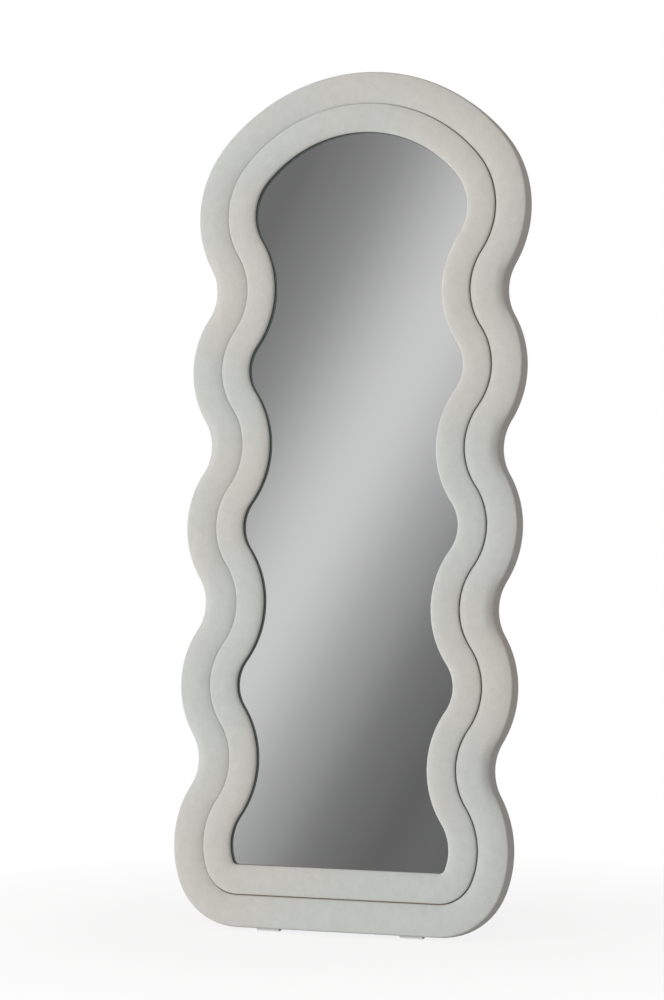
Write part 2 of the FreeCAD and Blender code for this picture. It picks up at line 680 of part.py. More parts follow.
def make_back_board(holes):
    body = new_body("board")
    sketch = panel_sketch(body, "board_outline", "Layout.board_back")
    draw_outline(sketch, "outside", "Layout.board_grow", "Layout.board_neck")
    pad(body, sketch, "Sheet.back_board_thickness")
    lean_back(keep("back_board", cut(body, holes)))


# Glass

def make_glass():
    """The glass, its safety film, the tape behind it and the two fillers about the cross rail."""
    lean_back(keep("mirror_glass", make_pane("glass", "Sheet.base_front", "Layout.glass_back", "0")))
    lean_back(keep("safety_film", make_pane("film", "Layout.glass_back", "Layout.film_back", "0")))
    strips = []
    for number in (-1, 0, 1):
        strips.append(box(
            f"strip_{number + 1}", f"{number} * Sheet.tape_spread - Sheet.tape_width / 2", "Layout.film_back",
            "Sheet.glass_bottom + Sheet.tape_end_margin", "Sheet.tape_width", "Sheet.tape_thickness",
            "Layout.glass_top - Sheet.glass_bottom - 2 * Sheet.tape_end_margin"))
    lean_back(keep("glass_tape", gather(strips)))
    filler = make_pane("filler", "Layout.tape_back", "Layout.base_back", "0")
    half_rail = "Sheet.cross_rail_height / 2 + Sheet.wood_clearance"
    width = "2 * Layout.glass_half_width"
    depth = "Layout.base_back - Layout.tape_back"
    upper = box("upper_region", "-Layout.glass_half_width", "Layout.tape_back",
                f"Layout.pivot_height + {half_rail}", width, depth,
                f"Layout.glass_top - Layout.pivot_height - {half_rail}")
    lower = box("lower_region", "-Layout.glass_half_width", "Layout.tape_back", "Sheet.glass_bottom",
                width, depth, f"Layout.pivot_height - ({half_rail}) - Sheet.glass_bottom")
    lean_back(keep("upper_filler", common(filler, upper)))
    lean_back(keep("lower_filler", common(filler, lower)))


# Screws

def screw_prism(name, turn, radius, length):
    feature = doc.addObject("Part::Prism", name)
    feature.Placement = FreeCAD.Placement(Vector(), FreeCAD.Rotation(Vector(1, 0, 0), turn))
    feature.setExpression("Polygon", "Sheet.screw_sides")
    feature.setExpression("Circumradius", radius)
    feature.setExpression("Height", length)
    return feature


def screw(name, length, fit):
    """A pan head screw along Y, with its head behind Y = 0, or with a fit the hole for one."""
    whole = doc.addObject("Part::Fuse", name)
    whole.Base = screw_prism(name + "_head", -90, f"Sheet.screw_head_diameter / 2 + {fit}",
                             f"Sheet.screw_head_height + {fit}")
    whole.Tool = screw_prism(name + "_shank", 90, f"Sheet.screw_diameter / 2 + {fit}", f"{length} + {fit}")
    doc.recompute()
    return whole


def copies_of(name, pattern, places, turn):
    """One piece at several places, turned about X."""
    shapes = []
    for x, y, z in places:
        shape = pattern.Shape.copy()
        shape.Placement = FreeCAD.Placement(Vector(size(x), size(y), size(z)),
                                            FreeCAD.Rotation(Vector(1, 0, 0), turn))
        shapes.append(shape)
    group = doc.addObject("Part::Feature", name)
    group.Shape = Part.Compound(shapes)
    return group


def screw_set(label, length, places, turn=0):
    """A set of equal screws in the panel. Gives their holes."""
    lean_back(keep(label, copies_of(label + "_set", screw(label + "_one", length, "0"), places, turn)))
    return copies_of(label + "_holes", screw(label + "_hole", length, "Sheet.screw_fit"), places, turn)


def bulge_heights():
    return [f"Layout.shoulder_height - Layout.wave_pitch * {number}"
            for number in range(1, int(size("Sheet.wave_count")) + 1)]


def board_screw_places():
    """Board screws at the bulges, at the top and along the bottom."""
    inset = "Layout.board_grow - Sheet.board_screw_inset"
    rows = [(f"Sheet.bulge_half_width + {inset}", height) for height in bulge_heights()]
    rows.append(("Sheet.board_screw_spread", f"Sheet.rail_bottom - ({inset})"))
    places = [(f"{sign} * ({x})", "Layout.board_back", z) for x, z in rows for side, sign in SIDES]
    places.append(("0", "Layout.board_back", f"Sheet.arch_top + {inset}"))
    return places


def bracket_screw_places():
    """Two screws for each bracket, one on each side of its ears."""
    seat = "Layout.board_back + Sheet.bracket_plate"
    return [(f"{sign} * Layout.leg_spread + {across} * Sheet.bracket_screw_spread", seat,
             f"Layout.pivot_height + {across} * Sheet.bracket_screw_rise")
            for side, sign in SIDES for across in (-1, 1)]


def hanger_screw_places():
    seat = "Layout.board_back + Sheet.hanger_plate"
    return [(f"{sign} * Layout.hanger_spread", seat,
             f"Layout.shoulder_height + {up} * Sheet.hanger_screw_pitch / 2")
            for side, sign in SIDES for up in (-1, 1)]


def pad_screw_places():
    middle = "Sheet.pad_front + Sheet.pad_depth / 2"
    return [(f"{sign} * Sheet.pad_spread", middle, "Layout.pad_top - Sheet.pad_seat")
            for side, sign in SIDES]


# Stand

def draw_ear(sketch):
    """An ear's side view: a tongue from the base plate with a round end about the bolt."""
    root = size("Layout.board_back + Sheet.bracket_plate / 2")
    depth, height = size("Layout.pivot_depth"), size("Layout.pivot_height")
    radius = size("Sheet.ear_radius")
    tip = add_arc(sketch, (depth, height, radius), -math.pi / 2, math.pi / 2)
    upper = sketch.addGeometry(
        Part.LineSegment(Vector(depth, height + radius), Vector(root, height + radius)))
    foot = sketch.addGeometry(
        Part.LineSegment(Vector(root, height + radius), Vector(root, height - radius)))
    lower = sketch.addGeometry(
        Part.LineSegment(Vector(root, height - radius), Vector(depth, height - radius)))
    tie(sketch, "Tangent", tip, END, upper, START)
    tie(sketch, "Coincident", upper, END, foot, START)
    tie(sketch, "Coincident", foot, END, lower, START)
    tie(sketch, "Tangent", lower, END, tip, START)
    tie(sketch, "Horizontal", upper)
    tie(sketch, "Vertical", foot)
    tie(sketch, "Horizontal", lower)
    dimension(sketch, "DistanceX", "tip_x", "Layout.pivot_depth", *ORIGIN, tip, CENTRE)
    dimension(sketch, "DistanceY", "tip_y", "Layout.pivot_height", *ORIGIN, tip, CENTRE)
    dimension(sketch, "Radius", "tip_radius", "Sheet.ear_radius", tip)
    dimension(sketch, "DistanceX", "root_x", "Layout.board_back + Sheet.bracket_plate / 2",
              *ORIGIN, foot, START)


def make_bracket(side, sign, holes):
    """A pivot bracket: a plate on the back board with two ears for the bolt."""
    body = new_body(side + "_bracket")
    middle = f"{sign} * Layout.leg_spread"
    back = "Layout.board_back + Sheet.bracket_plate"
    base = panel_sketch(body, side + "_bracket_base", back)
    half_width, half_height = "Sheet.bracket_width / 2", "Sheet.bracket_height / 2"
    draw_rounded(base, "base", f"{middle} - {half_width}", f"{middle} + {half_width}",
                 f"Layout.pivot_height - {half_height}", f"Layout.pivot_height + {half_height}",
                 "Sheet.bracket_corner", "Sheet.bracket_corner")
    pad(body, base, "Sheet.bracket_plate")
    for number, place in enumerate(("Layout.ear_inside", "-Layout.ear_outside")):
        ear = new_sketch(body, f"{side}_ear_{number}", "YZ_Plane", f"{middle} + {place}")
        draw_ear(ear)
        pad(body, ear, "Sheet.bracket_plate")
    bore = prism_across(side + "_bore", f"{middle} - Layout.ear_outside",
                        "Sheet.bolt_diameter / 2 + Sheet.bolt_fit", "2 * Layout.ear_outside")
    bore.setExpression("Placement.Base.y", "Layout.pivot_depth")
    bore.setExpression("Placement.Base.z", "Layout.pivot_height")
    lean_back(keep(side + "_pivot_bracket", cut(body, [bore, holes])))


def at_pivot(thing):
    thing.setExpression("Placement.Base.y", "Layout.pivot_y")
    thing.setExpression("Placement.Base.z", "Layout.pivot_z")
    return thing


def fuse(base, tool):
    feature = doc.addObject("Part::Fuse", "fuse")
    feature.Base = base
    feature.Tool = tool
    doc.recompute()
    return feature


def prism_across(name, x, inside_radius, length, sides=8):
    """A prism along X, from x onwards, whose flats lie at the given radius."""
    feature = doc.addObject("Part::Prism", name)
    feature.Polygon = sides
    feature.Placement = FreeCAD.Placement(Vector(), FreeCAD.Rotation(Vector(0, 1, 0), 90))
    feature.setExpression("Placement.Base.x", x)
    feature.setExpression("Circumradius", f"({inside_radius}) / cos(180 / {sides})")
    feature.setExpression("Height", length)
    doc.recompute()
    return feature


def make_bolts():
    """The two pivot bolts with their nuts, and the washers beside the tube."""
    bolts = []
    nuts = []
    washers = []
    radius = "Sheet.bolt_diameter / 2"
    bore = f"{radius} + Sheet.bolt_fit"
    hexagon = 6
    shank_length = "2 * Layout.ear_outside + Sheet.nut_height + Sheet.bolt_end"
    starts = {
        "left": ("-Layout.leg_spread - Layout.ear_outside - Sheet.bolt_head_height",
                 "-Layout.leg_spread - Layout.ear_outside",
                 "-Layout.leg_spread + Layout.ear_outside"),
        "right": ("Layout.leg_spread + Layout.ear_outside",
                  "Layout.leg_spread + Layout.ear_outside - (" + shank_length + ")",
                  "Layout.leg_spread - Layout.ear_outside - Sheet.nut_height"),
    }
    for side, sign in SIDES:
        head_x, shank_x, nut_x = starts[side]
        flat = "Sheet.spanner_size / 2"
        head = prism_across(side + "_head", head_x, flat, "Sheet.bolt_head_height", hexagon)
        shank = cylinder_across(side + "_shank", shank_x, radius, shank_length)
        bolts.append(fuse(head, shank))
        blank = prism_across(side + "_blank", nut_x, flat, "Sheet.nut_height", hexagon)
        nuts.append(cut(blank, [prism_across(side + "_thread", nut_x, bore, "Sheet.nut_height")]))
        gap = "Layout.half_tube + Sheet.pivot_play"
        for edge in (gap, f"-({gap}) - Sheet.washer_thickness"):
            x = f"{sign} * Layout.leg_spread + {edge}"
            disc = prism_across(side + "_disc", x, "Sheet.washer_diameter / 2", "Sheet.washer_thickness", 12)
            washers.append(cut(disc, [prism_across(side + "_eye", x, bore, "Sheet.washer_thickness")]))
    at_pivot(keep("pivot_bolts", gather(bolts)))
    at_pivot(keep("pivot_nuts", gather(nuts)))
    at_pivot(keep("pivot_washers", gather(washers)))


def draw_stand(sketch):
    """The stand's centre line: two legs down from the pivot and the foot bar between them."""
    spread, tail = size("Layout.leg_spread"), size("Sheet.tube_tail")
    length, bend = size("Layout.stand_length"), size("Sheet.tube_bend_radius")
    left_leg = sketch.addGeometry(Part.LineSegment(Vector(-spread, tail), Vector(-spread, bend - length)))
    left_bend = add_arc(sketch, (bend - spread, bend - length, bend), math.pi, 1.5 * math.pi)
    bar = sketch.addGeometry(Part.LineSegment(Vector(bend - spread, -length), Vector(spread - bend, -length)))
    right_bend = add_arc(sketch, (spread - bend, bend - length, bend), 1.5 * math.pi, 2 * math.pi)
    right_leg = sketch.addGeometry(Part.LineSegment(Vector(spread, bend - length), Vector(spread, tail)))
    tie(sketch, "Tangent", left_leg, END, left_bend, START)
    tie(sketch, "Tangent", left_bend, END, bar, START)
    tie(sketch, "Tangent", bar, END, right_bend, START)
    tie(sketch, "Tangent", right_bend, END, right_leg, START)
    tie(sketch, "Vertical", left_leg)
    tie(sketch, "Horizontal", bar)
    tie(sketch, "Vertical", right_leg)
    dimension(sketch, "DistanceX", "left_x", "Layout.leg_spread", left_leg, START, *ORIGIN)
    dimension(sketch, "DistanceX", "right_x", "Layout.leg_spread", *ORIGIN, right_leg, END)
    dimension(sketch, "DistanceY", "left_top", "Sheet.tube_tail", *ORIGIN, left_leg, START)
    dimension(sketch, "DistanceY", "right_top", "Sheet.tube_tail", *ORIGIN, right_leg, END)
    dimension(sketch, "DistanceY", "bar_drop", "Layout.stand_length", bar, START, *ORIGIN)
    dimension(sketch, "Radius", "left_bend_radius", "Sheet.tube_bend_radius", left_bend)
    tie(sketch, "Equal", left_bend, right_bend)


def make_stand():
    """The bent tube on its two bolts, plugged at its upper ends and shod with rubber shoes."""
    body = new_body("tube")
    path = new_sketch(body, "tube_path", "XZ_Plane")
    draw_stand(path)
    section = new_sketch(body, "tube_section", "XY_Plane", "Sheet.tube_tail")
    half_inside = "Layout.half_tube - Sheet.tube_wall"
    for name, half in (("outside", "Layout.half_tube"), ("inside", half_inside)):
        draw_rectangle(section, name, f"-Layout.leg_spread - ({half})", f"{half} - Layout.leg_spread",
                       f"-({half})", half)
    doc.recompute()
    bent = body.newObject("PartDesign::AdditivePipe", "tube_bent")
    bent.Profile = section
    bent.Spine = (path, [])
    doc.recompute()
    bore = new_sketch(body, "tube_bore", "YZ_Plane", "-Layout.leg_spread - Sheet.tube_side")
    draw_circle(bore, "bore", "0", "0", "Sheet.bolt_diameter / 2 + Sheet.bolt_fit")
    pocket(body, bore, "2 * (Layout.leg_spread + Sheet.tube_side)")
    swing_out(keep("stand_tube", body))
    plugs = []
    for side, sign in SIDES:
        half_plug = f"({half_inside} - Sheet.shoe_clearance)"
        plugs.append(box(side + "_plug", f"{sign} * Layout.leg_spread - {half_plug}", f"-{half_plug}",
                         "Sheet.tube_tail - Sheet.plug_length", f"2 * {half_plug}", f"2 * {half_plug}",
                         "Sheet.plug_length"))
        make_shoe(side, sign)
    swing_out(keep("tube_end_plugs", gather(plugs)))


def shoe_box(name, sign, half):
    """A box along the foot bar, in the stand's own frame."""
    return box(name, f"{sign} * Layout.shoe_spread - Sheet.shoe_length / 2", f"-({half})",
               f"-Layout.stand_length - ({half})", "Sheet.shoe_length", f"2 * ({half})", f"2 * ({half})")


def make_shoe(side, sign):
    """A rubber shoe on the foot bar, flat where it stands on the floor."""
    outside = shoe_box(side + "_shoe_outside", sign, "Layout.half_tube + Sheet.shoe_wall")
    inside = shoe_box(side + "_shoe_inside", sign, "Layout.half_tube + Sheet.shoe_clearance")
    rubber = swing_out(cut(outside, [inside]))
    twice = "2 * Sheet.shoe_length"
    ground = box(side + "_ground", f"{sign} * Layout.shoe_spread - Sheet.shoe_length",
                 "Layout.foot_bar_y - Sheet.shoe_length", "-Sheet.shoe_length", twice, twice,
                 "Sheet.shoe_length")
    keep(side + "_stand_foot", cut(rubber, [ground]))


# Hangers and floor pads

def make_hanger(side, sign):
    """A keyhole plate on the back: a round entry below a slot with a round end."""
    body = new_body(side + "_hanger")
    middle = f"{sign} * Layout.hanger_spread"
    back = "Layout.board_back + Sheet.hanger_plate"
    half_width, half_height = "Sheet.hanger_width / 2", "Sheet.hanger_height / 2"
    plate = panel_sketch(body, side + "_hanger_plate", back)
    draw_rounded(plate, "plate", f"{middle} - {half_width}", f"{middle} + {half_width}",
                 f"Layout.shoulder_height - {half_height}", f"Layout.shoulder_height + {half_height}",
                 "Sheet.hanger_corner", "Sheet.hanger_corner")
    pad(body, plate, "Sheet.hanger_plate")
    entry = panel_sketch(body, side + "_entry", back)
    draw_circle(entry, "entry", middle, "Layout.shoulder_height - Sheet.keyhole_rise / 2",
                "Sheet.keyhole_entry / 2")
    pocket(body, entry, "Sheet.hanger_plate")
    slot = panel_sketch(body, side + "_slot", back)
    half_slot = "Sheet.keyhole_slot / 2"
    draw_rounded(slot, "slot", f"{middle} - {half_slot}", f"{middle} + {half_slot}",
                 "Layout.shoulder_height - Sheet.keyhole_rise / 2",
                 f"Layout.shoulder_height + Sheet.keyhole_rise / 2 + {half_slot}",
                 "Sheet.slot_corner", "Sheet.slot_corner")
    pocket(body, slot, "Sheet.hanger_plate")
    return body


def make_hangers(holes):
    plates = [cut(make_hanger(side, sign), [holes]) for side, sign in SIDES]
    lean_back(keep("keyhole_plates", gather(plates)))


def keyhole_pocket(side, sign):
    """Room behind a keyhole for the head of a wall screw."""
    width = "Sheet.keyhole_entry + 2 * Sheet.keyhole_margin"
    height = f"{width} + Sheet.keyhole_rise"
    return box(side + "_keyhole_pocket", f"{sign} * Layout.hanger_spread - ({width}) / 2",
               "Layout.board_back - Sheet.keyhole_pocket", f"Layout.shoulder_height - ({height}) / 2",
               width, "Sheet.keyhole_pocket", height)


def make_pad(side, sign, holes):
    """A rubber wedge under the bottom rail, level with the floor when the panel leans."""
    body = new_body(side + "_pad")
    sketch = new_sketch(body, side + "_wedge", "YZ_Plane", f"{sign} * Sheet.pad_spread")
    front, back, top = size("Sheet.pad_front"), size("Layout.pad_back"), size("Layout.pad_top")
    front_drop = "Sheet.pad_rear_thickness + Sheet.pad_depth * tan(Sheet.lean)"
    corners = [Vector(front, top), Vector(back, top), Vector(back, size("Layout.pad_low")),
               Vector(front, top - size(front_drop))]
    lines = [sketch.addGeometry(Part.LineSegment(corners[number], corners[(number + 1) % 4]))
             for number in range(4)]
    for number in range(4):
        tie(sketch, "Coincident", lines[number], END, lines[(number + 1) % 4], START)
    tie(sketch, "Horizontal", lines[0])
    tie(sketch, "Vertical", lines[1])
    tie(sketch, "Vertical", lines[3])
    dimension(sketch, "DistanceX", "front", "Sheet.pad_front", *ORIGIN, lines[0], START)
    dimension(sketch, "DistanceX", "depth", "Sheet.pad_depth", lines[0], START, lines[0], END)
    dimension(sketch, "DistanceY", "top", "-Layout.pad_top", lines[0], START, *ORIGIN)
    dimension(sketch, "DistanceY", "rear", "Sheet.pad_rear_thickness", lines[1], END, lines[1], START)
    dimension(sketch, "DistanceY", "drop", front_drop, lines[3], START, lines[3], END)
    pad(body, sketch, "Sheet.pad_length", midplane=True)
    lean_back(keep(side + "_floor_pad", cut(body, [holes])))


def make_all():
    board_holes = screw_set("back_board_screws", "Sheet.board_screw_length", board_screw_places())
    bracket_holes = screw_set("bracket_screws", "Sheet.bracket_screw_length", bracket_screw_places())
    hanger_holes = screw_set("keyhole_screws", "Sheet.hanger_screw_length", hanger_screw_places())
    pad_holes = screw_set("floor_pad_screws", "Sheet.pad_screw_length", pad_screw_places(), -90)
    pockets = [keyhole_pocket(side, sign) for side, sign in SIDES]
    make_outer_roll(pad_holes)
    make_inner_roll()
    make_base([board_holes, hanger_holes, pad_holes] + pockets,
              rail_box("rail_housing", "Sheet.wood_clearance"))
    rail = rail_box("rail", "0")
    lean_back(keep("cross_rail", cut(rail, [bracket_holes])))
    make_back_board([board_holes, bracket_holes, hanger_holes] + pockets)
    make_glass()
    for side, sign in SIDES:
        make_bracket(side, sign, bracket_holes)
        make_pad(side, sign, pad_holes)
    make_hangers(hanger_holes)
    make_bolts()
    make_stand()


def check_document():
    """Stops where a feature has failed or a piece isn't a sound solid."""
    for thing in doc.Objects:
        if "Invalid" in thing.State or "Error" in thing.State:
            raise RuntimeError(f"{thing.Label} failed: {thing.State}")
    for label, thing in nodes.items():
        shape = thing.Shape
        if shape.isNull() or not shape.isValid() or not shape.Solids:
            raise RuntimeError(f"{label} is not a sound solid")


def write_parts():
    os.makedirs("parts", exist_ok=True)
    for label, thing in nodes.items():
        thing.Shape.exportStep(f"parts/{label}.step")


make_all()
doc.recompute()
check_document()
write_parts()
for name in ("pivot_y", "pivot_z", "swing", "stand_length", "foot_bar_y", "lift", "shoulder_height",
             "hanger_spread", "glass_half_width", "leg_spread", "arch_radius"):
    print(name, round(size("Layout." + name), 3))
print("nodes", len(nodes))
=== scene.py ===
"""Dresses the wavy floor mirror: padded rolls, glass, back, stand and a plain studio.

Sizes are in metres. The panel is drawn upright, with X to the right, Y back through the panel and
Z up it, and is then leaned back. Every finished piece sits at the origin with its place in its mesh.
"""

import json
import math

import bmesh
import bpy
from bpy.props import FloatProperty, FloatVectorProperty, IntProperty, PointerProperty
from bpy.types import Operator, Panel, PropertyGroup
from mathutils import Euler, Matrix, Vector


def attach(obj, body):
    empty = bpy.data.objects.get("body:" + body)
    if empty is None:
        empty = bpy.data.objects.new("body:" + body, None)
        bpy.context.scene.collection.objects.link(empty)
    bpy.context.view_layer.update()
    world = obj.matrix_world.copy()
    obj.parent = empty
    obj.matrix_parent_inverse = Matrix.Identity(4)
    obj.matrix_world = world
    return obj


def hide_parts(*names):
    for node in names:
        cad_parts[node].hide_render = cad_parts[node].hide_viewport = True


bl_info = {
    "name": "Wavy floor mirror",
    "version": (1, 0, 0),
    "blender": (4, 5, 0),
    "location": "View3D > Sidebar > Mirror",
    "description": "Builds the visual model of a wavy floor mirror with two padded rolls",
    "category": "Add Mesh",
}

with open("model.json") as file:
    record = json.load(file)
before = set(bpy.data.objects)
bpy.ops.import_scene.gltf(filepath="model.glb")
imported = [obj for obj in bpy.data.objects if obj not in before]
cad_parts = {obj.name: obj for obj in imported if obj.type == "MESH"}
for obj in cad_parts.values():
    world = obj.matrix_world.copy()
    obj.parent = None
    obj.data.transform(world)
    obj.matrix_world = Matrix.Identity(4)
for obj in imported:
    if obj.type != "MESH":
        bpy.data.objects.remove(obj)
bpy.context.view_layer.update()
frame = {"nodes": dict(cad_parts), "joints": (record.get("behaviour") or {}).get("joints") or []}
MM = 0.001
BACKWARDS = Vector((0.0, 1.0, 0.0))


def distance(name, description, default):
    """A length that a user may change."""
    return FloatProperty(name=name, description=description, default=default, subtype="DISTANCE",
                         unit="LENGTH", precision=4)


def tilt(name, description, degrees):
    return FloatProperty(name=name, description=description, default=math.radians(degrees), subtype="ANGLE")


def colour(name, description, default):
    return FloatVectorProperty(name=name, description=description, default=default, size=3,
                               subtype="COLOR", min=0.0, max=1.0)


# Settings

class OutlineSettings(PropertyGroup):
    """The line where the two rolls meet, as tangent arcs."""

    wave_count: IntProperty(name="Bulges", description="Full bulges on each side", default=3, min=1)
    bulge_half_width: distance("Bulge half width", "Half width across the bulges", 0.2656)
    bulge_radius: distance("Bulge radius", "Radius of a bulge", 0.129)
    neck_radius: distance("Neck radius", "Radius of the hollow between two bulges", 0.126)
    arch_top: distance("Arch top", "Top of the arch", 1.5395)
    shoulder_height: distance("Shoulder height", "Height of the arch's shoulders", 1.336)
    shoulder_half_width: distance("Shoulder half width", "Half width across the shoulders", 0.2644)
    shoulder_radius: distance("Shoulder radius", "Radius of a shoulder", 0.150)
    foot_half_width: distance("Foot half width", "Half width across the lowest bulges", 0.267)
    foot_radius: distance("Foot radius", "Radius of the lowest bulge", 0.145)
    foot_height: distance("Foot height", "Height of the lowest bulge", 0.154)
    corner_radius: distance("Corner radius", "Radius of a bottom corner", 0.065)
    rail_bottom: distance("Rail bottom", "Height of the bottom line", 0.0605)
    station_step: distance("Station step", "Spacing of the sections along the rolls", 0.006)


class RollSettings(PropertyGroup):
    """The two padded rolls."""

    outer_width: distance("Outer width", "Width of the outer roll", 0.0605)
    outer_neck: distance("Outer neck", "Hollow of the outer edge", 0.097)
    inner_width: distance("Inner width", "Width of the inner roll", 0.055)
    half_gap: distance("Half gap", "Half of the gap between the rolls", 0.0003)
    rail_slack: distance("Rail slack", "How far the groove opens along the bottom", 0.0012)
    pucker_depth: distance("Pucker depth", "Depth of the small puckers beside the groove", 0.0014)
    pucker_scale: FloatProperty(name="Pucker scale", description="Puckers in each metre", default=38.0)
    droop_depth: distance("Droop depth", "How far the outer shoulder gives way in a hollow", 0.008)
    fill: FloatProperty(name="Fill", description="How full the foam is, from slack to tight",
                        default=0.9, min=0.0, max=1.0)


class StanceSettings(PropertyGroup):
    """How the panel and its stand stand on the floor."""

    lean: tilt("Lean", "Backward lean of the panel", 6.0)
    setback: distance("Setback", "From the panel's front edge line back to the origin", 0.134)
    lift: distance("Lift", "Height of the panel's lowest line", 0.006408)
    slope: tilt("Stand slope", "Slope of the stand", 6.6)
    leg_spread: distance("Leg spread", "Distance of a leg from the middle", 0.179134)
    stand_length: distance("Stand length", "From the pivot to the foot bar", 0.978282)
    tube_tail: distance("Tube tail", "Tube above the pivot", 0.014)
    tube_side: distance("Tube side", "Side of the square tube", 0.014)
    tube_corner: distance("Tube corner", "Rounding of the square tube", 0.0022)
    bend_radius: distance("Bend radius", "Radius of the tube's bends", 0.032)


class FinishSettings(PropertyGroup):
    """Colours of the visible materials."""

    flannel: colour("Flannel", "Cover of the rolls", (0.600, 0.598, 0.567))
    flannel_cool: colour("Cool flannel", "Cover of the rolls in cooler patches", (0.572, 0.604, 0.579))
    # This colour is painted shade: it darkens the inner cover's recess beside the glass, where shade falls.
    seam: colour("Seam", "Painted shade in the recess beside the glass", (0.065, 0.075, 0.066))
    # This colour is a painted reflection: the green of the glass edge laid on the foot of the inner cover.
    painted_reflection: colour("Painted reflection", "Painted green reflection of the glass on the cover's edge", (0.40, 0.56, 0.50))
    silver: colour("Silver", "Silvered glass", (0.93, 0.94, 0.935))
    board: colour("Back board", "Black faced board", (0.03, 0.029, 0.028))
    fibreboard: colour("Fibreboard", "Raw board inside the panel", (0.36, 0.25, 0.15))
    steel: colour("Black steel", "Powder coated stand", (0.022, 0.022, 0.023))
    zinc: colour("Zinc", "Plated screws, nuts and plates", (0.62, 0.61, 0.58))
    rubber: colour("Rubber", "Feet of the stand", (0.025, 0.025, 0.026))
    pad: colour("Floor pad", "Pale pads under the panel", (0.86, 0.86, 0.84))
    foam: colour("Foam board", "Light boards and tape", (0.75, 0.75, 0.73))


class StageSettings(PropertyGroup):
    """Camera and light."""

    lens: FloatProperty(name="Lens", description="Focal length", subtype="DISTANCE_CAMERA", default=107.3)
    eye: FloatVectorProperty(name="Eye", description="Place of the camera", size=3,
                             subtype="XYZ", unit="LENGTH", default=(1.907, -5.230, 0.8247))
    yaw: tilt("Yaw", "Turn to the left", 20.58)
    pitch: tilt("Pitch", "Tilt downwards", 0.3)
    roll: tilt("Roll", "Turn about the view", -0.1)
    key_watts: FloatProperty(name="Key light", description="Power of the light on the left",
                             unit="POWER", default=1190.0)
    fill_watts: FloatProperty(name="Fill light", description="Power of the light on the right",
                              unit="POWER", default=17.0)
    sky: FloatProperty(name="Room light", description="Even light from all round", default=0.27)


class MirrorSettings(PropertyGroup):
    outline: PointerProperty(type=OutlineSettings)
    rolls: PointerProperty(type=RollSettings)
    stance: PointerProperty(type=StanceSettings)
    finish: PointerProperty(type=FinishSettings)
    stage: PointerProperty(type=StageSettings)


def settings():
    return bpy.context.scene.wave_mirror


def panel_matrix():
    """From the upright panel to the leaning one."""
    stance = settings().stance
    place = Matrix.Translation((0.0, -stance.setback, stance.lift))
    return place @ Matrix.Rotation(-stance.lean, 4, "X")


def pivot_matrix():
    """From the stand's own frame to where it stands."""
    hinge = next(joint for joint in frame["joints"] if joint["name"] == "stand_fold")
    return Matrix.Translation(hinge["pos_m"]) @ Matrix.Rotation(settings().stance.slope, 4, "X")


# Outline

ARCH_SHARE = 0.42
ARC_SHARE = 0.35
LEAST_STEPS = 6
HOLLOW_LEAST = 1e-8
HOLLOW_TURNS = 30


def circle_between(upper, lower, radius):
    """The circle of that radius that touches both circles from the right."""
    upper_reach = upper[2] + radius
    lower_reach = lower[2] + radius
    across = lower[0] - upper[0]
    down = lower[1] - upper[1]
    apart = math.hypot(across, down)
    along = (upper_reach ** 2 - lower_reach ** 2 + apart ** 2) / (2.0 * apart)
    aside = math.sqrt(upper_reach ** 2 - along ** 2)
    return (upper[0] + (along * across - aside * down) / apart,
            upper[1] + (along * down + aside * across) / apart, radius)


def side_circles(grow, neck):
    """The circles from the arch down the right side, each with True where it is a neck."""
    line = settings().outline
    drop = line.arch_top - line.shoulder_height
    shoulder_x = line.shoulder_half_width - line.shoulder_radius
    arch_radius = ((shoulder_x ** 2 + drop ** 2 - line.shoulder_radius ** 2)
                   / (2.0 * (drop - line.shoulder_radius)))
    arch = (0.0, line.arch_top - arch_radius, arch_radius + grow)
    rounds = [(shoulder_x, line.shoulder_height, line.shoulder_radius + grow)]
    pitch = (line.shoulder_height - line.foot_height) / (line.wave_count + 1)
    for number in range(1, line.wave_count + 1):
        rounds.append((line.bulge_half_width - line.bulge_radius,
                       line.shoulder_height - number * pitch, line.bulge_radius + grow))
    foot = (line.foot_half_width - line.foot_radius, line.foot_height, line.foot_radius + grow)
    rounds.append(foot)
    chain = [(arch, False), (rounds[0], False)]
    for upper, lower in zip(rounds, rounds[1:]):
        chain.append((circle_between(upper, lower, neck), True))
        chain.append((lower, False))
    corner_radius = line.corner_radius + grow
    corner_z = line.rail_bottom - grow + corner_radius
    reach = foot[2] - corner_radius
    corner_x = foot[0] + math.sqrt(reach ** 2 - (corner_z - foot[1]) ** 2)
    chain.append(((corner_x, corner_z, corner_radius), False))
    return chain


def touch_point(circle, other):
    """Where two tangent circles meet."""
    between = Vector((other[0] - circle[0], other[1] - circle[1]))
    inside = between.length < max(circle[2], other[2])
    if inside and other[2] > circle[2]:
        between = -between
    return Vector(circle[:2]) + between.normalized() * circle[2]


def half_outline(grow, neck, counts):
    """Points down the right half, from the top of the arch to the middle of the bottom line.

    counts holds the number of steps on each arc, so that two outlines can be paired.
    """
    chain = side_circles(grow, neck)
    joints = [Vector((0.0, chain[0][0][1] + chain[0][0][2]))]
    for (circle, _), (follower, _) in zip(chain, chain[1:]):
        joints.append(touch_point(circle, follower))
    last = chain[-1][0]
    joints.append(Vector((last[0], last[1] - last[2])))
    points = []
    for (circle, hollow), start, end, steps in zip(chain, joints, joints[1:], counts):
        first = math.atan2(start.y - circle[1], start.x - circle[0])
        turn = math.atan2(end.y - circle[1], end.x - circle[0]) - first
        turn = turn % math.tau if hollow else -((-turn) % math.tau)
        for step in range(steps):
            angle = first + turn * step / steps
            points.append(Vector((circle[0] + circle[2] * math.cos(angle),
                                  circle[1] + circle[2] * math.sin(angle))))
    steps = counts[-1]
    for step in range(steps + 1):
        points.append(Vector((joints[-1].x * (1.0 - step / steps), joints[-1].y)))
    return points


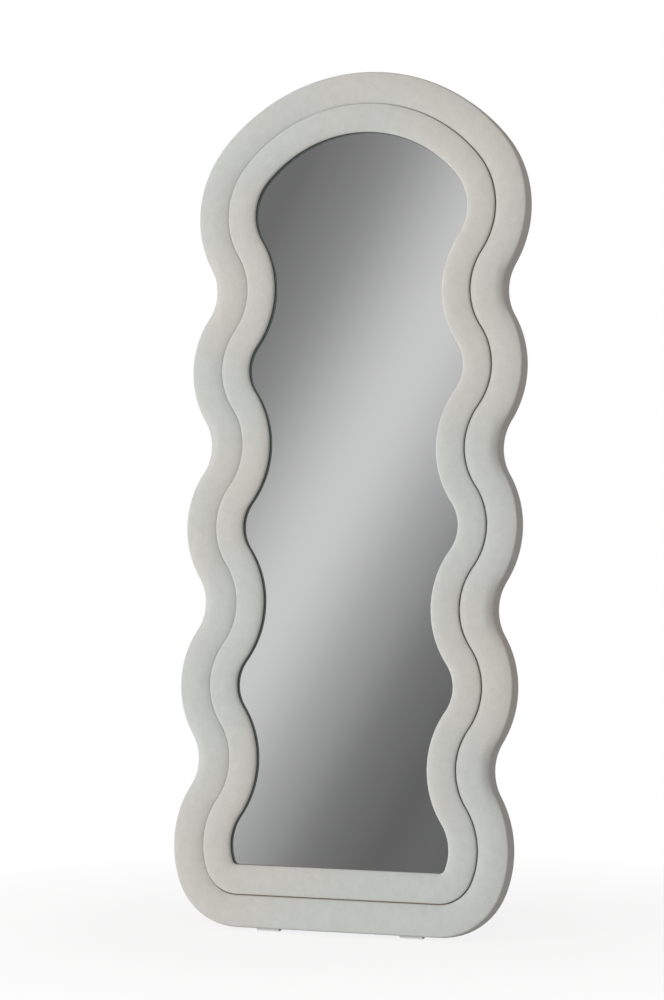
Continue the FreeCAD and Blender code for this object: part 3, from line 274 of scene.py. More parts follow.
def arc_counts():
    """Steps for each arc of the groove line, and for half of the bottom line."""
    line = settings().outline
    chain = side_circles(0.0, line.neck_radius)
    counts = []
    for number, (circle, _) in enumerate(chain):
        share = ARC_SHARE if number else ARCH_SHARE
        counts.append(max(LEAST_STEPS, round(circle[2] * math.pi * share / line.station_step)))
    counts.append(round(chain[-1][0][0] / line.station_step))
    return counts


def full_outline(grow, neck):
    """The whole loop, down the right side and up the left one."""
    right = half_outline(grow, neck, arc_counts())
    left = [Vector((-point.x, point.y)) for point in reversed(right[1:-1])]
    return right + left


def hollow_shares(outline):
    """How hollow the loop is at each point, from 0 on its bulges to 1 in its necks."""
    count = len(outline)
    shares = []
    for number in range(count):
        behind = outline[number] - outline[number - 1]
        ahead = outline[(number + 1) % count] - outline[number]
        shares.append(1.0 if behind.cross(ahead) > HOLLOW_LEAST else 0.0)
    for _ in range(HOLLOW_TURNS):
        shares = [(shares[number - 1] + shares[number] + shares[(number + 1) % count]) / 3.0
                  for number in range(count)]
    return shares


# Meshes

SWEEP_FIELDS = ("rail", "reach", "hollow", "share", "offset", "rise", "pucker", "droop")
WELD = 1e-6
SOLID_WELD = 1e-5
FLAT_ANGLE = 1.0
EASE_ANGLE = 40.0
EASE_SEGMENTS = 2
PLATE_ANGLE = 35.0
HEAD_ANGLE = 40.0
TUBE_ANGLE = 50.0


def new_object(name, data):
    """An object that is part of the scene."""
    piece = bpy.data.objects.new(name, data)
    bpy.context.scene.collection.objects.link(piece)
    return piece


def mesh_object(name, vertices, edges=(), faces=()):
    mesh = bpy.data.meshes.new(name)
    mesh.from_pydata([tuple(one) for one in vertices], edges, faces)
    return new_object(name, mesh)


def add_fields(mesh, fields):
    """Numbers or vectors that a mesh carries at its points."""
    for name, values in fields.items():
        kind, entry = ("FLOAT", "value") if isinstance(values[0], float) else ("FLOAT_VECTOR", "vector")
        layer = mesh.attributes.new(name, kind, "POINT")
        for item, value in zip(layer.data, values):
            setattr(item, entry, value)


def chain_edges(count, closed):
    edges = [(number, number + 1) for number in range(count - 1)]
    return edges + [(count - 1, 0)] if closed else edges


def rail_object(name, points, reaches, closed, hollows=None):
    """A path for a section: where it runs, how far the section reaches sideways and where it is hollow."""
    rail = mesh_object(name, points, chain_edges(len(points), closed))
    add_fields(rail.data, {"rail": points, "reach": reaches, "hollow": hollows or [0.0] * len(points)})
    return rail


def smooth_line(points, steps):
    """A line through the points that bends evenly."""
    line = []
    for number in range(len(points) - 1):
        before = points[max(number - 1, 0)]
        here, after = points[number], points[number + 1]
        beyond = points[min(number + 2, len(points) - 1)]
        for step in range(steps):
            t = step / steps
            spot = (2.0 * here + (after - before) * t
                    + (2.0 * before - 5.0 * here + 4.0 * after - beyond) * t * t
                    + (3.0 * here - before - 3.0 * after + beyond) * t ** 3) * 0.5
            line.append(spot)
    line.append(points[-1])
    return line


def section_object(name, points, width, margin, pucker, droop):
    """A closed section. Near each side it keeps its distance from that side of the roll."""
    section = mesh_object(name, [(point.x, point.y, 0.0) for point in points],
                          chain_edges(len(points), True))
    shares = []
    offsets = []
    for point in points:
        share = clamped((point.x - margin) / (width - 2.0 * margin)) if margin else 0.0
        shares.append(share)
        offsets.append(point.x - share * width)
    rises = [point.y for point in points]
    add_fields(section.data, {"share": shares, "offset": offsets, "rise": rises, "pucker": pucker,
                              "droop": droop})
    return section


# Nodes

PUCKER_DETAIL = 2.0
NOISE_MIDDLE = 0.5


def new_tree(name, kind, inputs, outputs):
    """A node tree with named sockets, and its two ends."""
    tree = bpy.data.node_groups.new(name, kind)
    for side, sockets in (("INPUT", inputs), ("OUTPUT", outputs)):
        for label, socket in sockets:
            tree.interface.new_socket(label, in_out=side, socket_type="NodeSocket" + socket)
    return tree, tree.nodes.new("NodeGroupInput"), tree.nodes.new("NodeGroupOutput")


def feed(tree, node, values):
    """Links sockets to a node's inputs, and writes plain values into them."""
    for label, source in values.items():
        if isinstance(source, bpy.types.NodeSocket):
            tree.links.new(source, node.inputs[label])
        else:
            node.inputs[label].default_value = source


def add_node(tree, kind, values, **options):
    """A node with its options set and its inputs fed."""
    node = tree.nodes.new(kind)
    for label, value in options.items():
        setattr(node, label, value)
    feed(tree, node, values)
    return node


def math_node(tree, operation, *sources):
    """A number worked out from sockets or plain values."""
    node = add_node(tree, "ShaderNodeMath", dict(enumerate(sources)), operation=operation)
    return node.outputs["Value"]


def vector_node(tree, operation, *sources):
    """A vector, or the number that a dot product or a length gives."""
    labels = (0, "Scale") if operation == "SCALE" else (0, 1)
    node = add_node(tree, "ShaderNodeVectorMath", dict(zip(labels, sources)), operation=operation)
    return node.outputs["Value" if operation in ("DOT_PRODUCT", "LENGTH") else "Vector"]


def noise_node(tree, place, scale, detail):
    node = add_node(tree, "ShaderNodeTexNoise", {"Vector": place, "Scale": scale, "Detail": detail})
    return node.outputs[0]


def named(tree, name, kind="FLOAT"):
    """A field that the mesh carries."""
    node = add_node(tree, "GeometryNodeInputNamedAttribute", {"Name": name}, data_type=kind)
    return node.outputs["Attribute"]


def sweep_tree():
    """Carries a section along a rail, reaching from one edge of a roll to the other."""
    if "Sweep along rail" in bpy.data.node_groups:
        return bpy.data.node_groups["Sweep along rail"]
    tree, start, end = new_tree("Sweep along rail", "GeometryNodeTree", (
        ("Mesh", "Geometry"), ("Section", "Object"), ("Back", "Vector"), ("Caps", "Bool"),
        ("Pucker Depth", "Float"), ("Pucker Scale", "Float"), ("Droop Depth", "Float"),
        ("Material", "Material")), (("Mesh", "Geometry"),))
    rail = add_node(tree, "GeometryNodeMeshToCurve", {"Mesh": start.outputs["Mesh"]})
    chosen = add_node(tree, "GeometryNodeObjectInfo", {"Object": start.outputs["Section"]})
    section = add_node(tree, "GeometryNodeMeshToCurve", {"Mesh": chosen.outputs["Geometry"]})
    sweep = add_node(tree, "GeometryNodeCurveToMesh", {
        "Curve": rail.outputs["Curve"], "Profile Curve": section.outputs["Curve"],
        "Fill Caps": start.outputs["Caps"]})
    reach = named(tree, "reach", "FLOAT_VECTOR")
    width = math_node(tree, "MULTIPLY", named(tree, "share"), vector_node(tree, "LENGTH", reach))
    across = math_node(tree, "ADD", width, named(tree, "offset"))
    sideways = vector_node(tree, "SCALE", vector_node(tree, "NORMALIZE", reach), across)
    rail_place = named(tree, "rail", "FLOAT_VECTOR")
    swell = noise_node(tree, rail_place, start.outputs["Pucker Scale"], PUCKER_DETAIL)
    swell = math_node(tree, "SUBTRACT", swell, NOISE_MIDDLE)
    swell = math_node(tree, "MULTIPLY", swell, start.outputs["Pucker Depth"])
    swell = math_node(tree, "MULTIPLY", swell, named(tree, "pucker"))
    droop = math_node(tree, "MULTIPLY", named(tree, "hollow"), named(tree, "droop"))
    droop = math_node(tree, "MULTIPLY", droop, start.outputs["Droop Depth"])
    rise = math_node(tree, "ADD", named(tree, "rise"), swell)
    rise = math_node(tree, "ADD", rise, droop)
    backwards = vector_node(tree, "SCALE", start.outputs["Back"], rise)
    place = vector_node(tree, "ADD", rail_place, sideways)
    place = vector_node(tree, "ADD", place, backwards)
    move = add_node(tree, "GeometryNodeSetPosition", {"Geometry": sweep.outputs["Mesh"], "Position": place})
    finish_tree(tree, move.outputs["Geometry"], start, end)
    return tree


def finish_tree(tree, geometry, start, end):
    """Every tree ends in real geometry with its material."""
    real = add_node(tree, "GeometryNodeRealizeInstances", {"Geometry": geometry})
    paint = add_node(tree, "GeometryNodeSetMaterial", {
        "Geometry": real.outputs["Geometry"], "Material": start.outputs["Material"]})
    feed(tree, end, {"Mesh": paint.outputs["Geometry"]})


def scatter_tree():
    """Puts one small piece at each point of a mesh, all turned the same way."""
    if "Place at points" in bpy.data.node_groups:
        return bpy.data.node_groups["Place at points"]
    tree, start, end = new_tree("Place at points", "GeometryNodeTree", (
        ("Mesh", "Geometry"), ("Pattern", "Object"), ("Turn", "Rotation"), ("Material", "Material")),
        (("Mesh", "Geometry"),))
    chosen = add_node(tree, "GeometryNodeObjectInfo", {"Object": start.outputs["Pattern"]})
    spread = add_node(tree, "GeometryNodeInstanceOnPoints", {
        "Points": start.outputs["Mesh"], "Instance": chosen.outputs["Geometry"],
        "Rotation": start.outputs["Turn"]})
    finish_tree(tree, spread.outputs["Instances"], start, end)
    return tree


def result_mesh(piece):
    """The mesh that a piece's modifiers give."""
    bpy.context.view_layer.update()
    graph = bpy.context.evaluated_depsgraph_get()
    return bpy.data.meshes.new_from_object(piece.evaluated_get(graph))


def run_tree(carrier, tree, values, helpers):
    """The tree's result as a plain mesh object. The carrier and the helpers are removed."""
    modifier = carrier.modifiers.new("Build", "NODES")
    modifier.node_group = tree
    for item in tree.interface.items_tree:
        if item.in_out == "INPUT" and item.name in values:
            modifier[item.identifier] = values[item.name]
    mesh = result_mesh(carrier)
    name = carrier.name
    for thing in [carrier] + helpers:
        bpy.data.objects.remove(thing, do_unlink=True)
    for attribute in [one.name for one in mesh.attributes if one.name in SWEEP_FIELDS]:
        mesh.attributes.remove(mesh.attributes[attribute])
    tidy_mesh(mesh)
    return new_object(name, mesh)


def tidy_mesh(mesh):
    """Welds a mesh and turns its faces outwards."""
    shape = bmesh.new()
    shape.from_mesh(mesh)
    bmesh.ops.remove_doubles(shape, verts=shape.verts, dist=WELD)
    bmesh.ops.recalc_face_normals(shape, faces=shape.faces)
    for face in shape.faces:
        face.smooth = True
    shape.to_mesh(mesh)
    shape.free()


def sharpen(mesh, degrees):
    """Smooth faces that keep the edges sharper than the angle."""
    mesh.set_sharp_from_angle(angle=math.radians(degrees))


def bake_modifiers(piece):
    """A piece with its modifiers made part of its mesh."""
    mesh = result_mesh(piece)
    piece.modifiers.clear()
    old = piece.data
    piece.data = mesh
    bpy.data.meshes.remove(old)
    return piece


def eased_copy(node, width, material):
    """A solid's own shape with its edges eased."""
    source = frame["nodes"][node]
    mesh = source.data.copy()
    mesh.transform(source.matrix_world)
    mesh.materials.clear()
    shape = bmesh.new()
    shape.from_mesh(mesh)
    bmesh.ops.remove_doubles(shape, verts=shape.verts, dist=SOLID_WELD)
    bmesh.ops.dissolve_limit(shape, angle_limit=math.radians(FLAT_ANGLE), verts=shape.verts,
                             edges=shape.edges)
    shape.to_mesh(mesh)
    shape.free()
    piece = new_object(node + "_eased", mesh)
    ease = piece.modifiers.new("Ease", "BEVEL")
    ease.width = width
    ease.segments = EASE_SEGMENTS
    ease.limit_method = "ANGLE"
    ease.angle_limit = math.radians(EASE_ANGLE)
    bake_modifiers(piece)
    for face in piece.data.polygons:
        face.use_smooth = True
    sharpen(piece.data, PLATE_ANGLE)
    piece.data.materials.append(material)
    even = piece.modifiers.new("Even faces", "WEIGHTED_NORMAL")
    even.keep_sharp = True
    return bake_modifiers(piece)


# Materials

MOTTLE_DETAIL = {"Patch": 4.0, "Grain": 2.0}
CAST_SCALE = 3.2
CAST_DETAIL = 1.0
CAST_RANGE = (0.36, 0.64)
PILE_ROUGHNESS = 0.92
PILE_SHEEN = {"Sheen Weight": 0.2, "Sheen Roughness": 0.45, "Specular IOR Level": 0.12}
PILE_MOTTLE = ((60.0, 0.14), (430.0, 0.17), (0.35, 0.0008))
# Depths in the panel where the inner cover gets painted shade (its recess beside the glass) and a painted
# green reflection of the glass (its foot).
PAINTED_SHADE_DEPTHS = (-0.0066, -0.0046)
PAINTED_REFLECTION_DEPTHS = (-0.0006, 0.0002)
PLAIN_FINISHES = (
    ("Silvered glass", "silver", 0.01, 1.0),
    ("Pale rubber", "pad", 0.8, 0.0),
    ("Zinc", "zinc", 0.34, 1.0),
    ("Black plastic", "rubber", 0.5, 0.0),
    ("Foam board", "foam", 0.9, 0.0),
    ("Clear film", "foam", 0.3, 0.0),
)
MOTTLED_FINISHES = (
    ("Black board", "board", 0.7, ((14.0, 0.35), (900.0, 0.3), (0.12, 0.0004))),
    ("Fibreboard", "fibreboard", 0.85, ((20.0, 0.2), (1200.0, 0.3), (0.15, 0.0004))),
    ("Black steel", "steel", 0.42, ((30.0, 0.15), (1800.0, 0.2), (0.08, 0.0003))),
    ("Rubber", "rubber", 0.75, ((40.0, 0.2), (1500.0, 0.25), (0.1, 0.0003))),
)


def new_material(name, base, roughness, metallic=0.0):
    material = bpy.data.materials.new(name)
    material.use_nodes = True
    tree = material.node_tree
    shader = tree.nodes["Principled BSDF"]
    feed(tree, shader, {"Base Color": (*base, 1.0), "Roughness": roughness, "Metallic": metallic})
    return material, tree, shader


def object_place(tree):
    return tree.nodes.new("ShaderNodeTexCoord").outputs["Object"]


def soft_step(tree, value, low, high):
    """0 below the low value and 1 above the high one, with a soft way between."""
    values = {"Value": value, "From Min": low, "From Max": high}
    return add_node(tree, "ShaderNodeMapRange", values, interpolation_type="SMOOTHSTEP").outputs["Result"]


def mixed(tree, share, first, second):
    """A colour between two colours."""
    values = {"Factor": share, "A": first, "B": second}
    return add_node(tree, "ShaderNodeMix", values, data_type="RGBA").outputs["Result"]


def mottle_group():
    """Soft patches and fine grain. Puts out a tinted colour and a height."""
    if "Mottle" in bpy.data.node_groups:
        return bpy.data.node_groups["Mottle"]
    tree, start, end = new_tree("Mottle", "ShaderNodeTree", (
        ("Color", "Color"), ("Cool Color", "Color"), ("Patch Scale", "Float"), ("Patch Amount", "Float"),
        ("Grain Scale", "Float"), ("Grain Amount", "Float")), (("Color", "Color"), ("Height", "Float")))
    place = object_place(tree)
    lightness = 1.0
    for label, detail in MOTTLE_DETAIL.items():
        noise = noise_node(tree, place, start.outputs[label + " Scale"], detail)
        swing = math_node(tree, "SUBTRACT", noise, NOISE_MIDDLE)
        swing = math_node(tree, "MULTIPLY", swing, start.outputs[label + " Amount"])
        lightness = math_node(tree, "ADD", lightness, swing)
    cast = soft_step(tree, noise_node(tree, place, CAST_SCALE, CAST_DETAIL), *CAST_RANGE)
    tint = mixed(tree, cast, start.outputs["Color"], start.outputs["Cool Color"])
    feed(tree, end, {"Color": vector_node(tree, "SCALE", tint, lightness), "Height": noise})
    return tree


def mottled_material(name, base, roughness, mottle, cool=None):
    """A material with patches and grain, each a scale and an amount, and with a fine relief."""
    patch, grain, (strength, height) = mottle
    _, tree, shader = new_material(name, base, roughness)
    values = {"Color": (*base, 1.0), "Cool Color": (*(cool or base), 1.0)}
    for label, (scale, amount) in (("Patch", patch), ("Grain", grain)):
        values[label + " Scale"] = scale
        values[label + " Amount"] = amount
    pile = add_node(tree, "ShaderNodeGroup", values, node_tree=mottle_group())
    relief = add_node(tree, "ShaderNodeBump", {
        "Strength": strength, "Distance": height, "Height": pile.outputs["Height"]})
    feed(tree, shader, {"Base Color": pile.outputs["Color"], "Normal": relief.outputs["Normal"]})
    return tree, shader, pile.outputs["Color"]


def depth_group():
    """How deep a place lies in the panel, from 0 at the near depth to 1 at the far one."""
    if "Panel depth" in bpy.data.node_groups:
        return bpy.data.node_groups["Panel depth"]
    tree, start, end = new_tree("Panel depth", "ShaderNodeTree", (("Near", "Float"), ("Far", "Float")),
                                (("Mask", "Float"),))
    back = panel_matrix().to_3x3() @ BACKWARDS
    depth = vector_node(tree, "DOT_PRODUCT", object_place(tree), back)
    depth = math_node(tree, "SUBTRACT", depth, back.dot(panel_matrix().translation))
    feed(tree, end, {"Mask": soft_step(tree, depth, start.outputs["Near"], start.outputs["Far"])})
    return tree


def flannel(name, bands=()):
    """Short matt pile. Each band lays a painted colour over the cover from one depth to another: painted
    shade in the recess beside the glass, or a painted green reflection of the glass at the cover's foot.
    """
    finish = settings().finish
    tree, shader, tint = mottled_material(name, finish.flannel, PILE_ROUGHNESS, PILE_MOTTLE,
                                          finish.flannel_cool)
    for (near, far), shade in bands:
        depth = add_node(tree, "ShaderNodeGroup", {"Near": near, "Far": far}, node_tree=depth_group())
        tint = mixed(tree, depth.outputs["Mask"], tint, (*shade, 1.0))
    feed(tree, shader, {"Base Color": tint, **PILE_SHEEN})


def material_named(name):
    return bpy.data.materials[name]


def make_materials():
    finish = settings().finish
    flannel("Flannel")
    # The inner cover's flannel carries painted shade beside the glass and a painted green reflection of the
    # glass.
    flannel("Flannel with seam", ((PAINTED_SHADE_DEPTHS, finish.seam), (PAINTED_REFLECTION_DEPTHS, finish.painted_reflection)))
    for name, shade, roughness, metallic in PLAIN_FINISHES:
        new_material(name, getattr(finish, shade), roughness, metallic)
    for name, shade, roughness, mottle in MOTTLED_FINISHES:
        mottled_material(name, getattr(finish, shade), roughness, mottle)


# Rolls

OUTER_FACE = ((0.0, 0.9), (0.0, -3.4), (0.4, -4.8), (1.6, -5.7), (5.0, -7.1), (11.0, -8.6), (18.0, -9.6),
              (26.0, -10.1), (34.0, -10.1), (42.0, -9.7), (49.0, -8.9), (54.0, -8.1), (57.6, -7.1),
              (59.5, -5.0), (60.3, -0.8), (60.5, 9.0), (60.6, 17.0), (60.4, 24.0), (59.2, 28.2), (56.6, 30.0),
              (52.0, 30.4), (48.4, 30.3))
OUTER_BACK = ((48.4, 29.1), (56.7, 29.1), (56.7, 0.9))
INNER_FACE = ((0.0, 0.9), (0.0, -5.8), (0.2, -7.9), (1.0, -9.3), (3.4, -10.4), (8.5, -11.4), (15.0, -12.0),
              (25.0, -12.3), (35.0, -12.0), (42.0, -11.2), (47.0, -10.1), (50.6, -8.8), (53.0, -7.1),
              (54.5, -4.8), (55.0, -2.2), (54.9, 0.0), (54.2, 0.9))
INNER_BACK = ()
SECTION_STEPS = 4
SIDE_MARGIN = 0.015
PUCKER_REACH = 0.012
DROOP_REACH = 0.022
DROOP_TOP = -0.006
DROOP_SIDE = 0.030


def clamped(share):
    return min(max(share, 0.0), 1.0)


def eased(share):
    share = clamped(share)
    return share * share * (3.0 - 2.0 * share)


def shoulder_droop(point, width):
    """How much a point of a section goes with its outer shoulder, from 0 to 1."""
    beside = clamped((point.x - width + DROOP_REACH) / DROOP_REACH)
    return beside * beside * (1.0 - eased((point.y - DROOP_TOP) / DROOP_SIDE))


def roll_section(name, face, back, width):
    """The closed section of a roll: a padded face and the plain back that lies on the boards."""
    visible = smooth_line([Vector((x * MM, y * MM)) for x, y in face], SECTION_STEPS)
    hidden = [Vector((x * MM, y * MM)) for x, y in back]
    pucker = [math.exp(-(point.x / PUCKER_REACH) ** 2) for point in visible] + [0.0] * len(hidden)
    droop = [shoulder_droop(point, width) for point in visible] + [0.0] * len(hidden)
    return section_object(name, visible + hidden, width, SIDE_MARGIN, pucker, droop)


def make_roll(name, node, near, far, section, finish, hollows=None):
    """A padded roll between two outlines."""
    rolls = settings().rolls
    upright = panel_matrix()
    turn = upright.to_3x3()
    points = [upright @ Vector((one.x, 0.0, one.y)) for one in near]
    reaches = [turn @ Vector((there.x - here.x, 0.0, there.y - here.y)) for here, there in zip(near, far)]
    rail = rail_object(name, points, reaches, True, hollows)
    piece = run_tree(rail, sweep_tree(), {
        "Section": section, "Back": tuple(turn @ BACKWARDS), "Caps": False,
        "Pucker Depth": rolls.pucker_depth, "Pucker Scale": rolls.pucker_scale,
        "Droop Depth": rolls.droop_depth, "Material": material_named(finish)}, [section])
    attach(piece, "panel")
    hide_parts(node)


class WAVE_MIRROR_OT_rolls(Operator):
    """Builds the two padded rolls along the wavy groove line"""

    bl_idname = "wave_mirror.rolls"
    bl_label = "Padded rolls"

    def execute(self, context):
        line, rolls = settings().outline, settings().rolls
        gap = rolls.half_gap
        groove = full_outline(gap, line.neck_radius - gap)
        for point in groove:
            low = (line.rail_bottom + line.corner_radius - point.y) / line.corner_radius
            point.y -= rolls.rail_slack * clamped(low)
        edge = full_outline(rolls.outer_width, rolls.outer_neck)
        section = roll_section("Outer section", OUTER_FACE, OUTER_BACK, rolls.outer_width - gap)
        make_roll("outer_roll_cover", "outer_roll", groove, edge, section, "Flannel", hollow_shares(edge))
        groove = full_outline(-gap, line.neck_radius + gap)
        edge = full_outline(-rolls.inner_width, line.neck_radius + rolls.inner_width)
        section = roll_section("Inner section", INNER_FACE, INNER_BACK, rolls.inner_width - gap)
        # The inner cover gets the flannel with painted shade and a painted reflection of the glass beside the
        # glass.
        make_roll("inner_roll_cover", "inner_roll", groove, edge, section, "Flannel with seam")
        return {"FINISHED"}


# Glass and boards

NODE_FINISHES = {
    "Silvered glass": ("mirror_glass",),
    "Clear film": ("safety_film",),
    "Foam board": ("glass_tape", "upper_filler", "lower_filler"),
    "Fibreboard": ("base_top_arch", "base_left_stile", "base_right_stile", "base_bottom_rail",
                   "joint_tenons", "cross_rail"),
    "Black plastic": ("tube_end_plugs",),
    "Zinc": ("floor_pad_screws",),
}


class WAVE_MIRROR_OT_glass(Operator):
    """Finishes the glass and the boards that keep the shape of their solids"""

    bl_idname = "wave_mirror.glass"
    bl_label = "Glass and inner boards"

    def execute(self, context):
        for finish, nodes in NODE_FINISHES.items():
            for node in nodes:
                mesh = frame["nodes"][node].data
                mesh.materials.clear()
                mesh.materials.append(material_named(finish))
        return {"FINISHED"}


EASED_PIECES = (
    ("back_board", 0.0008, "Black board", "panel", "back_board"),
    ("left_pivot_bracket", 0.0004, "Black steel", "panel", "black_steel"),
    ("right_pivot_bracket", 0.0004, "Black steel", "panel", "black_steel"),
    ("keyhole_plates", 0.0003, "Zinc", "panel", "zinc"),
    ("pivot_nuts", 0.0005, "Zinc", "panel", "zinc"),
    ("pivot_bolts", 0.0005, "Zinc", "panel", "zinc"),
    ("pivot_washers", 0.0002, "Black plastic", "panel", "black_plastic"),
    ("left_floor_pad", 0.0006, "Pale rubber", "panel", "pale_rubber"),
    ("right_floor_pad", 0.0006, "Pale rubber", "panel", "pale_rubber"),
    ("left_stand_foot", 0.0012, "Rubber", "stand", "rubber"),
    ("right_stand_foot", 0.0012, "Rubber", "stand", "rubber"),
)


class WAVE_MIRROR_OT_hardware(Operator):
    """Eases the edges of the back board, the brackets, the plates, the pads and the feet"""

    bl_idname = "wave_mirror.hardware"
    bl_label = "Board, brackets and feet"

    def execute(self, context):
        for node, width, finish, body, slot in EASED_PIECES:
            piece = eased_copy(node, width, material_named(finish))
            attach(piece, body)
            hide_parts(node)
        return {"FINISHED"}


# Screws

SCREW_HEAD_RADIUS = 0.0038
SCREW_HEAD_HEIGHT = 0.0024
SCREW_SHANK_RADIUS = 0.002
SCREW_SHANK = 0.006
SCREW_SETS = {"back_board_screws": 9, "bracket_screws": 4, "keyhole_screws": 4}
HEAD_SIDES = 24
RECESS_SIZE = (0.0042, 0.0022, 0.0009, 1.0)
HEAD_CURVE = ((0.97, 0.0), (1.0, 0.15), (0.97, 0.5), (0.82, 0.8), (0.5, 0.96), (0.0, 1.0))


def pan_head():
    """A pan head screw along Y with a crossed recess, its head behind Y = 0."""
    profile = [(0.0, -SCREW_SHANK), (SCREW_SHANK_RADIUS, -SCREW_SHANK), (SCREW_SHANK_RADIUS, 0.0)]
    for width, height in HEAD_CURVE:
        profile.append((width * SCREW_HEAD_RADIUS, height * SCREW_HEAD_HEIGHT))
    shape = bmesh.new()
    points = [shape.verts.new((radius, depth, 0.0)) for radius, depth in profile]
    edges = [shape.edges.new(pair) for pair in zip(points, points[1:])]
    bmesh.ops.spin(shape, geom=points + edges, cent=(0, 0, 0), axis=(0, 1, 0), angle=math.tau,
                   steps=HEAD_SIDES, use_merge=True)
    bmesh.ops.remove_doubles(shape, verts=shape.verts, dist=WELD)
    bmesh.ops.recalc_face_normals(shape, faces=shape.faces)
    mesh = bpy.data.meshes.new("Pan head")
    shape.to_mesh(mesh)
    shape.free()
    head = new_object("Pan head", mesh)
    cutters = []
    for turn in (0.0, math.pi / 2.0):
        blade = bmesh.new()
        place = Matrix.Rotation(turn, 4, "Y") @ Matrix.Translation((0.0, SCREW_HEAD_HEIGHT, 0.0))
        bmesh.ops.create_cube(blade, size=1.0, matrix=place @ Matrix.Diagonal(RECESS_SIZE))
        blade_mesh = bpy.data.meshes.new("Blade")
        blade.to_mesh(blade_mesh)
        blade.free()
        cutter = new_object("Blade", blade_mesh)
        recess = head.modifiers.new("Recess", "BOOLEAN")
        recess.object = cutter
        recess.solver = "EXACT"
        cutters.append(cutter)
    bake_modifiers(head)
    for cutter in cutters:
        bpy.data.objects.remove(cutter, do_unlink=True)
    tidy_mesh(head.data)
    sharpen(head.data, HEAD_ANGLE)
    return head


def screw_places(node):
    """Where the heads of a node's screws sit, as read from its separate solids."""
    mesh = frame["nodes"][node].data.copy()
    mesh.transform(panel_matrix().inverted() @ frame["nodes"][node].matrix_world)
    shape = bmesh.new()
    shape.from_mesh(mesh)
    bmesh.ops.remove_doubles(shape, verts=shape.verts, dist=SOLID_WELD)
    left = set(shape.verts)
    places = []
    while left:
        island = {left.pop()}
        front = list(island)
        while front:
            here = front.pop()
            for edge in here.link_edges:
                other = edge.other_vert(here)
                if other in left:
                    left.remove(other)
                    island.add(other)
                    front.append(other)
        xs = [vert.co.x for vert in island]
        zs = [vert.co.z for vert in island]
        back = max(vert.co.y for vert in island)
        places.append(((min(xs) + max(xs)) / 2.0, back - SCREW_HEAD_HEIGHT, (min(zs) + max(zs)) / 2.0))
    shape.free()
    bpy.data.meshes.remove(mesh)
    return sorted(places)


class WAVE_MIRROR_OT_screws(Operator):
    """Sets the round screws on the back in place of the solids"""

    bl_idname = "wave_mirror.screws"
    bl_label = "Screws on the back"

    def execute(self, context):
        upright = panel_matrix()
        for node, count in SCREW_SETS.items():
            places = screw_places(node)
            if len(places) != count:
                raise RuntimeError(f"{node} has {len(places)} screws")
            carrier = mesh_object(node + "_round", [upright @ Vector(place) for place in places])
            head = pan_head()
            piece = run_tree(carrier, scatter_tree(), {
                "Pattern": head, "Turn": upright.to_euler(), "Material": material_named("Zinc")}, [head])
            sharpen(piece.data, HEAD_ANGLE)
            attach(piece, "panel")
            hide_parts(node)
        return {"FINISHED"}


# Stand

BEND_STEPS = 12
CORNER_STEPS = 4


def rounded_square(side, corner):
    """A square with rounded corners, anticlockwise."""
    half = side / 2.0 - corner
    points = []
    for number, (x, y) in enumerate(((half, half), (-half, half), (-half, -half), (half, -half))):
        for step in range(CORNER_STEPS + 1):
            angle = (number + step / CORNER_STEPS) * math.pi / 2.0
            points.append(Vector((x + corner * math.cos(angle), y + corner * math.sin(angle))))
    return points


def stand_line():
    """The tube's centre line with the way to its outer side, in the stand's own frame."""
    stance = settings().stance
    spread, radius, length = stance.leg_spread, stance.bend_radius, stance.stand_length
    line = [(Vector((-spread, 0.0, stance.tube_tail)), math.pi)]
    for sign, first in ((-1.0, math.pi), (1.0, 1.5 * math.pi)):
        for step in range(BEND_STEPS + 1):
            angle = first + step / BEND_STEPS * math.pi / 2.0
            centre = Vector((sign * (spread - radius), 0.0, radius - length))
            spot = centre + radius * Vector((math.cos(angle), 0.0, math.sin(angle)))
            line.append((spot, angle))
    line.append((Vector((spread, 0.0, stance.tube_tail)), math.tau))
    return line


class WAVE_MIRROR_OT_stand(Operator):
    """Builds the bent square tube of the stand with rounded corners"""

    bl_idname = "wave_mirror.stand"
    bl_label = "Stand tube"

    def execute(self, context):
        stance = settings().stance
        placed = pivot_matrix()
        turn = placed.to_3x3()
        line = stand_line()
        points = [placed @ spot for spot, angle in line]
        reaches = [turn @ Vector((math.cos(angle), 0.0, math.sin(angle))) for spot, angle in line]
        rail = rail_object("stand_tube_bent", points, reaches, False)
        outline = rounded_square(stance.tube_side, stance.tube_corner)
        even = [0.0] * len(outline)
        section = section_object("Tube section", outline, 1.0, 0.0, even, even)
        piece = run_tree(rail, sweep_tree(), {
            "Section": section, "Back": tuple(turn @ BACKWARDS), "Caps": True,
            "Pucker Depth": 0.0, "Pucker Scale": 1.0, "Material": material_named("Black steel")}, [section])
        sharpen(piece.data, TUBE_ANGLE)
        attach(piece, "stand")
        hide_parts("stand_tube")
        return {"FINISHED"}


# Stage

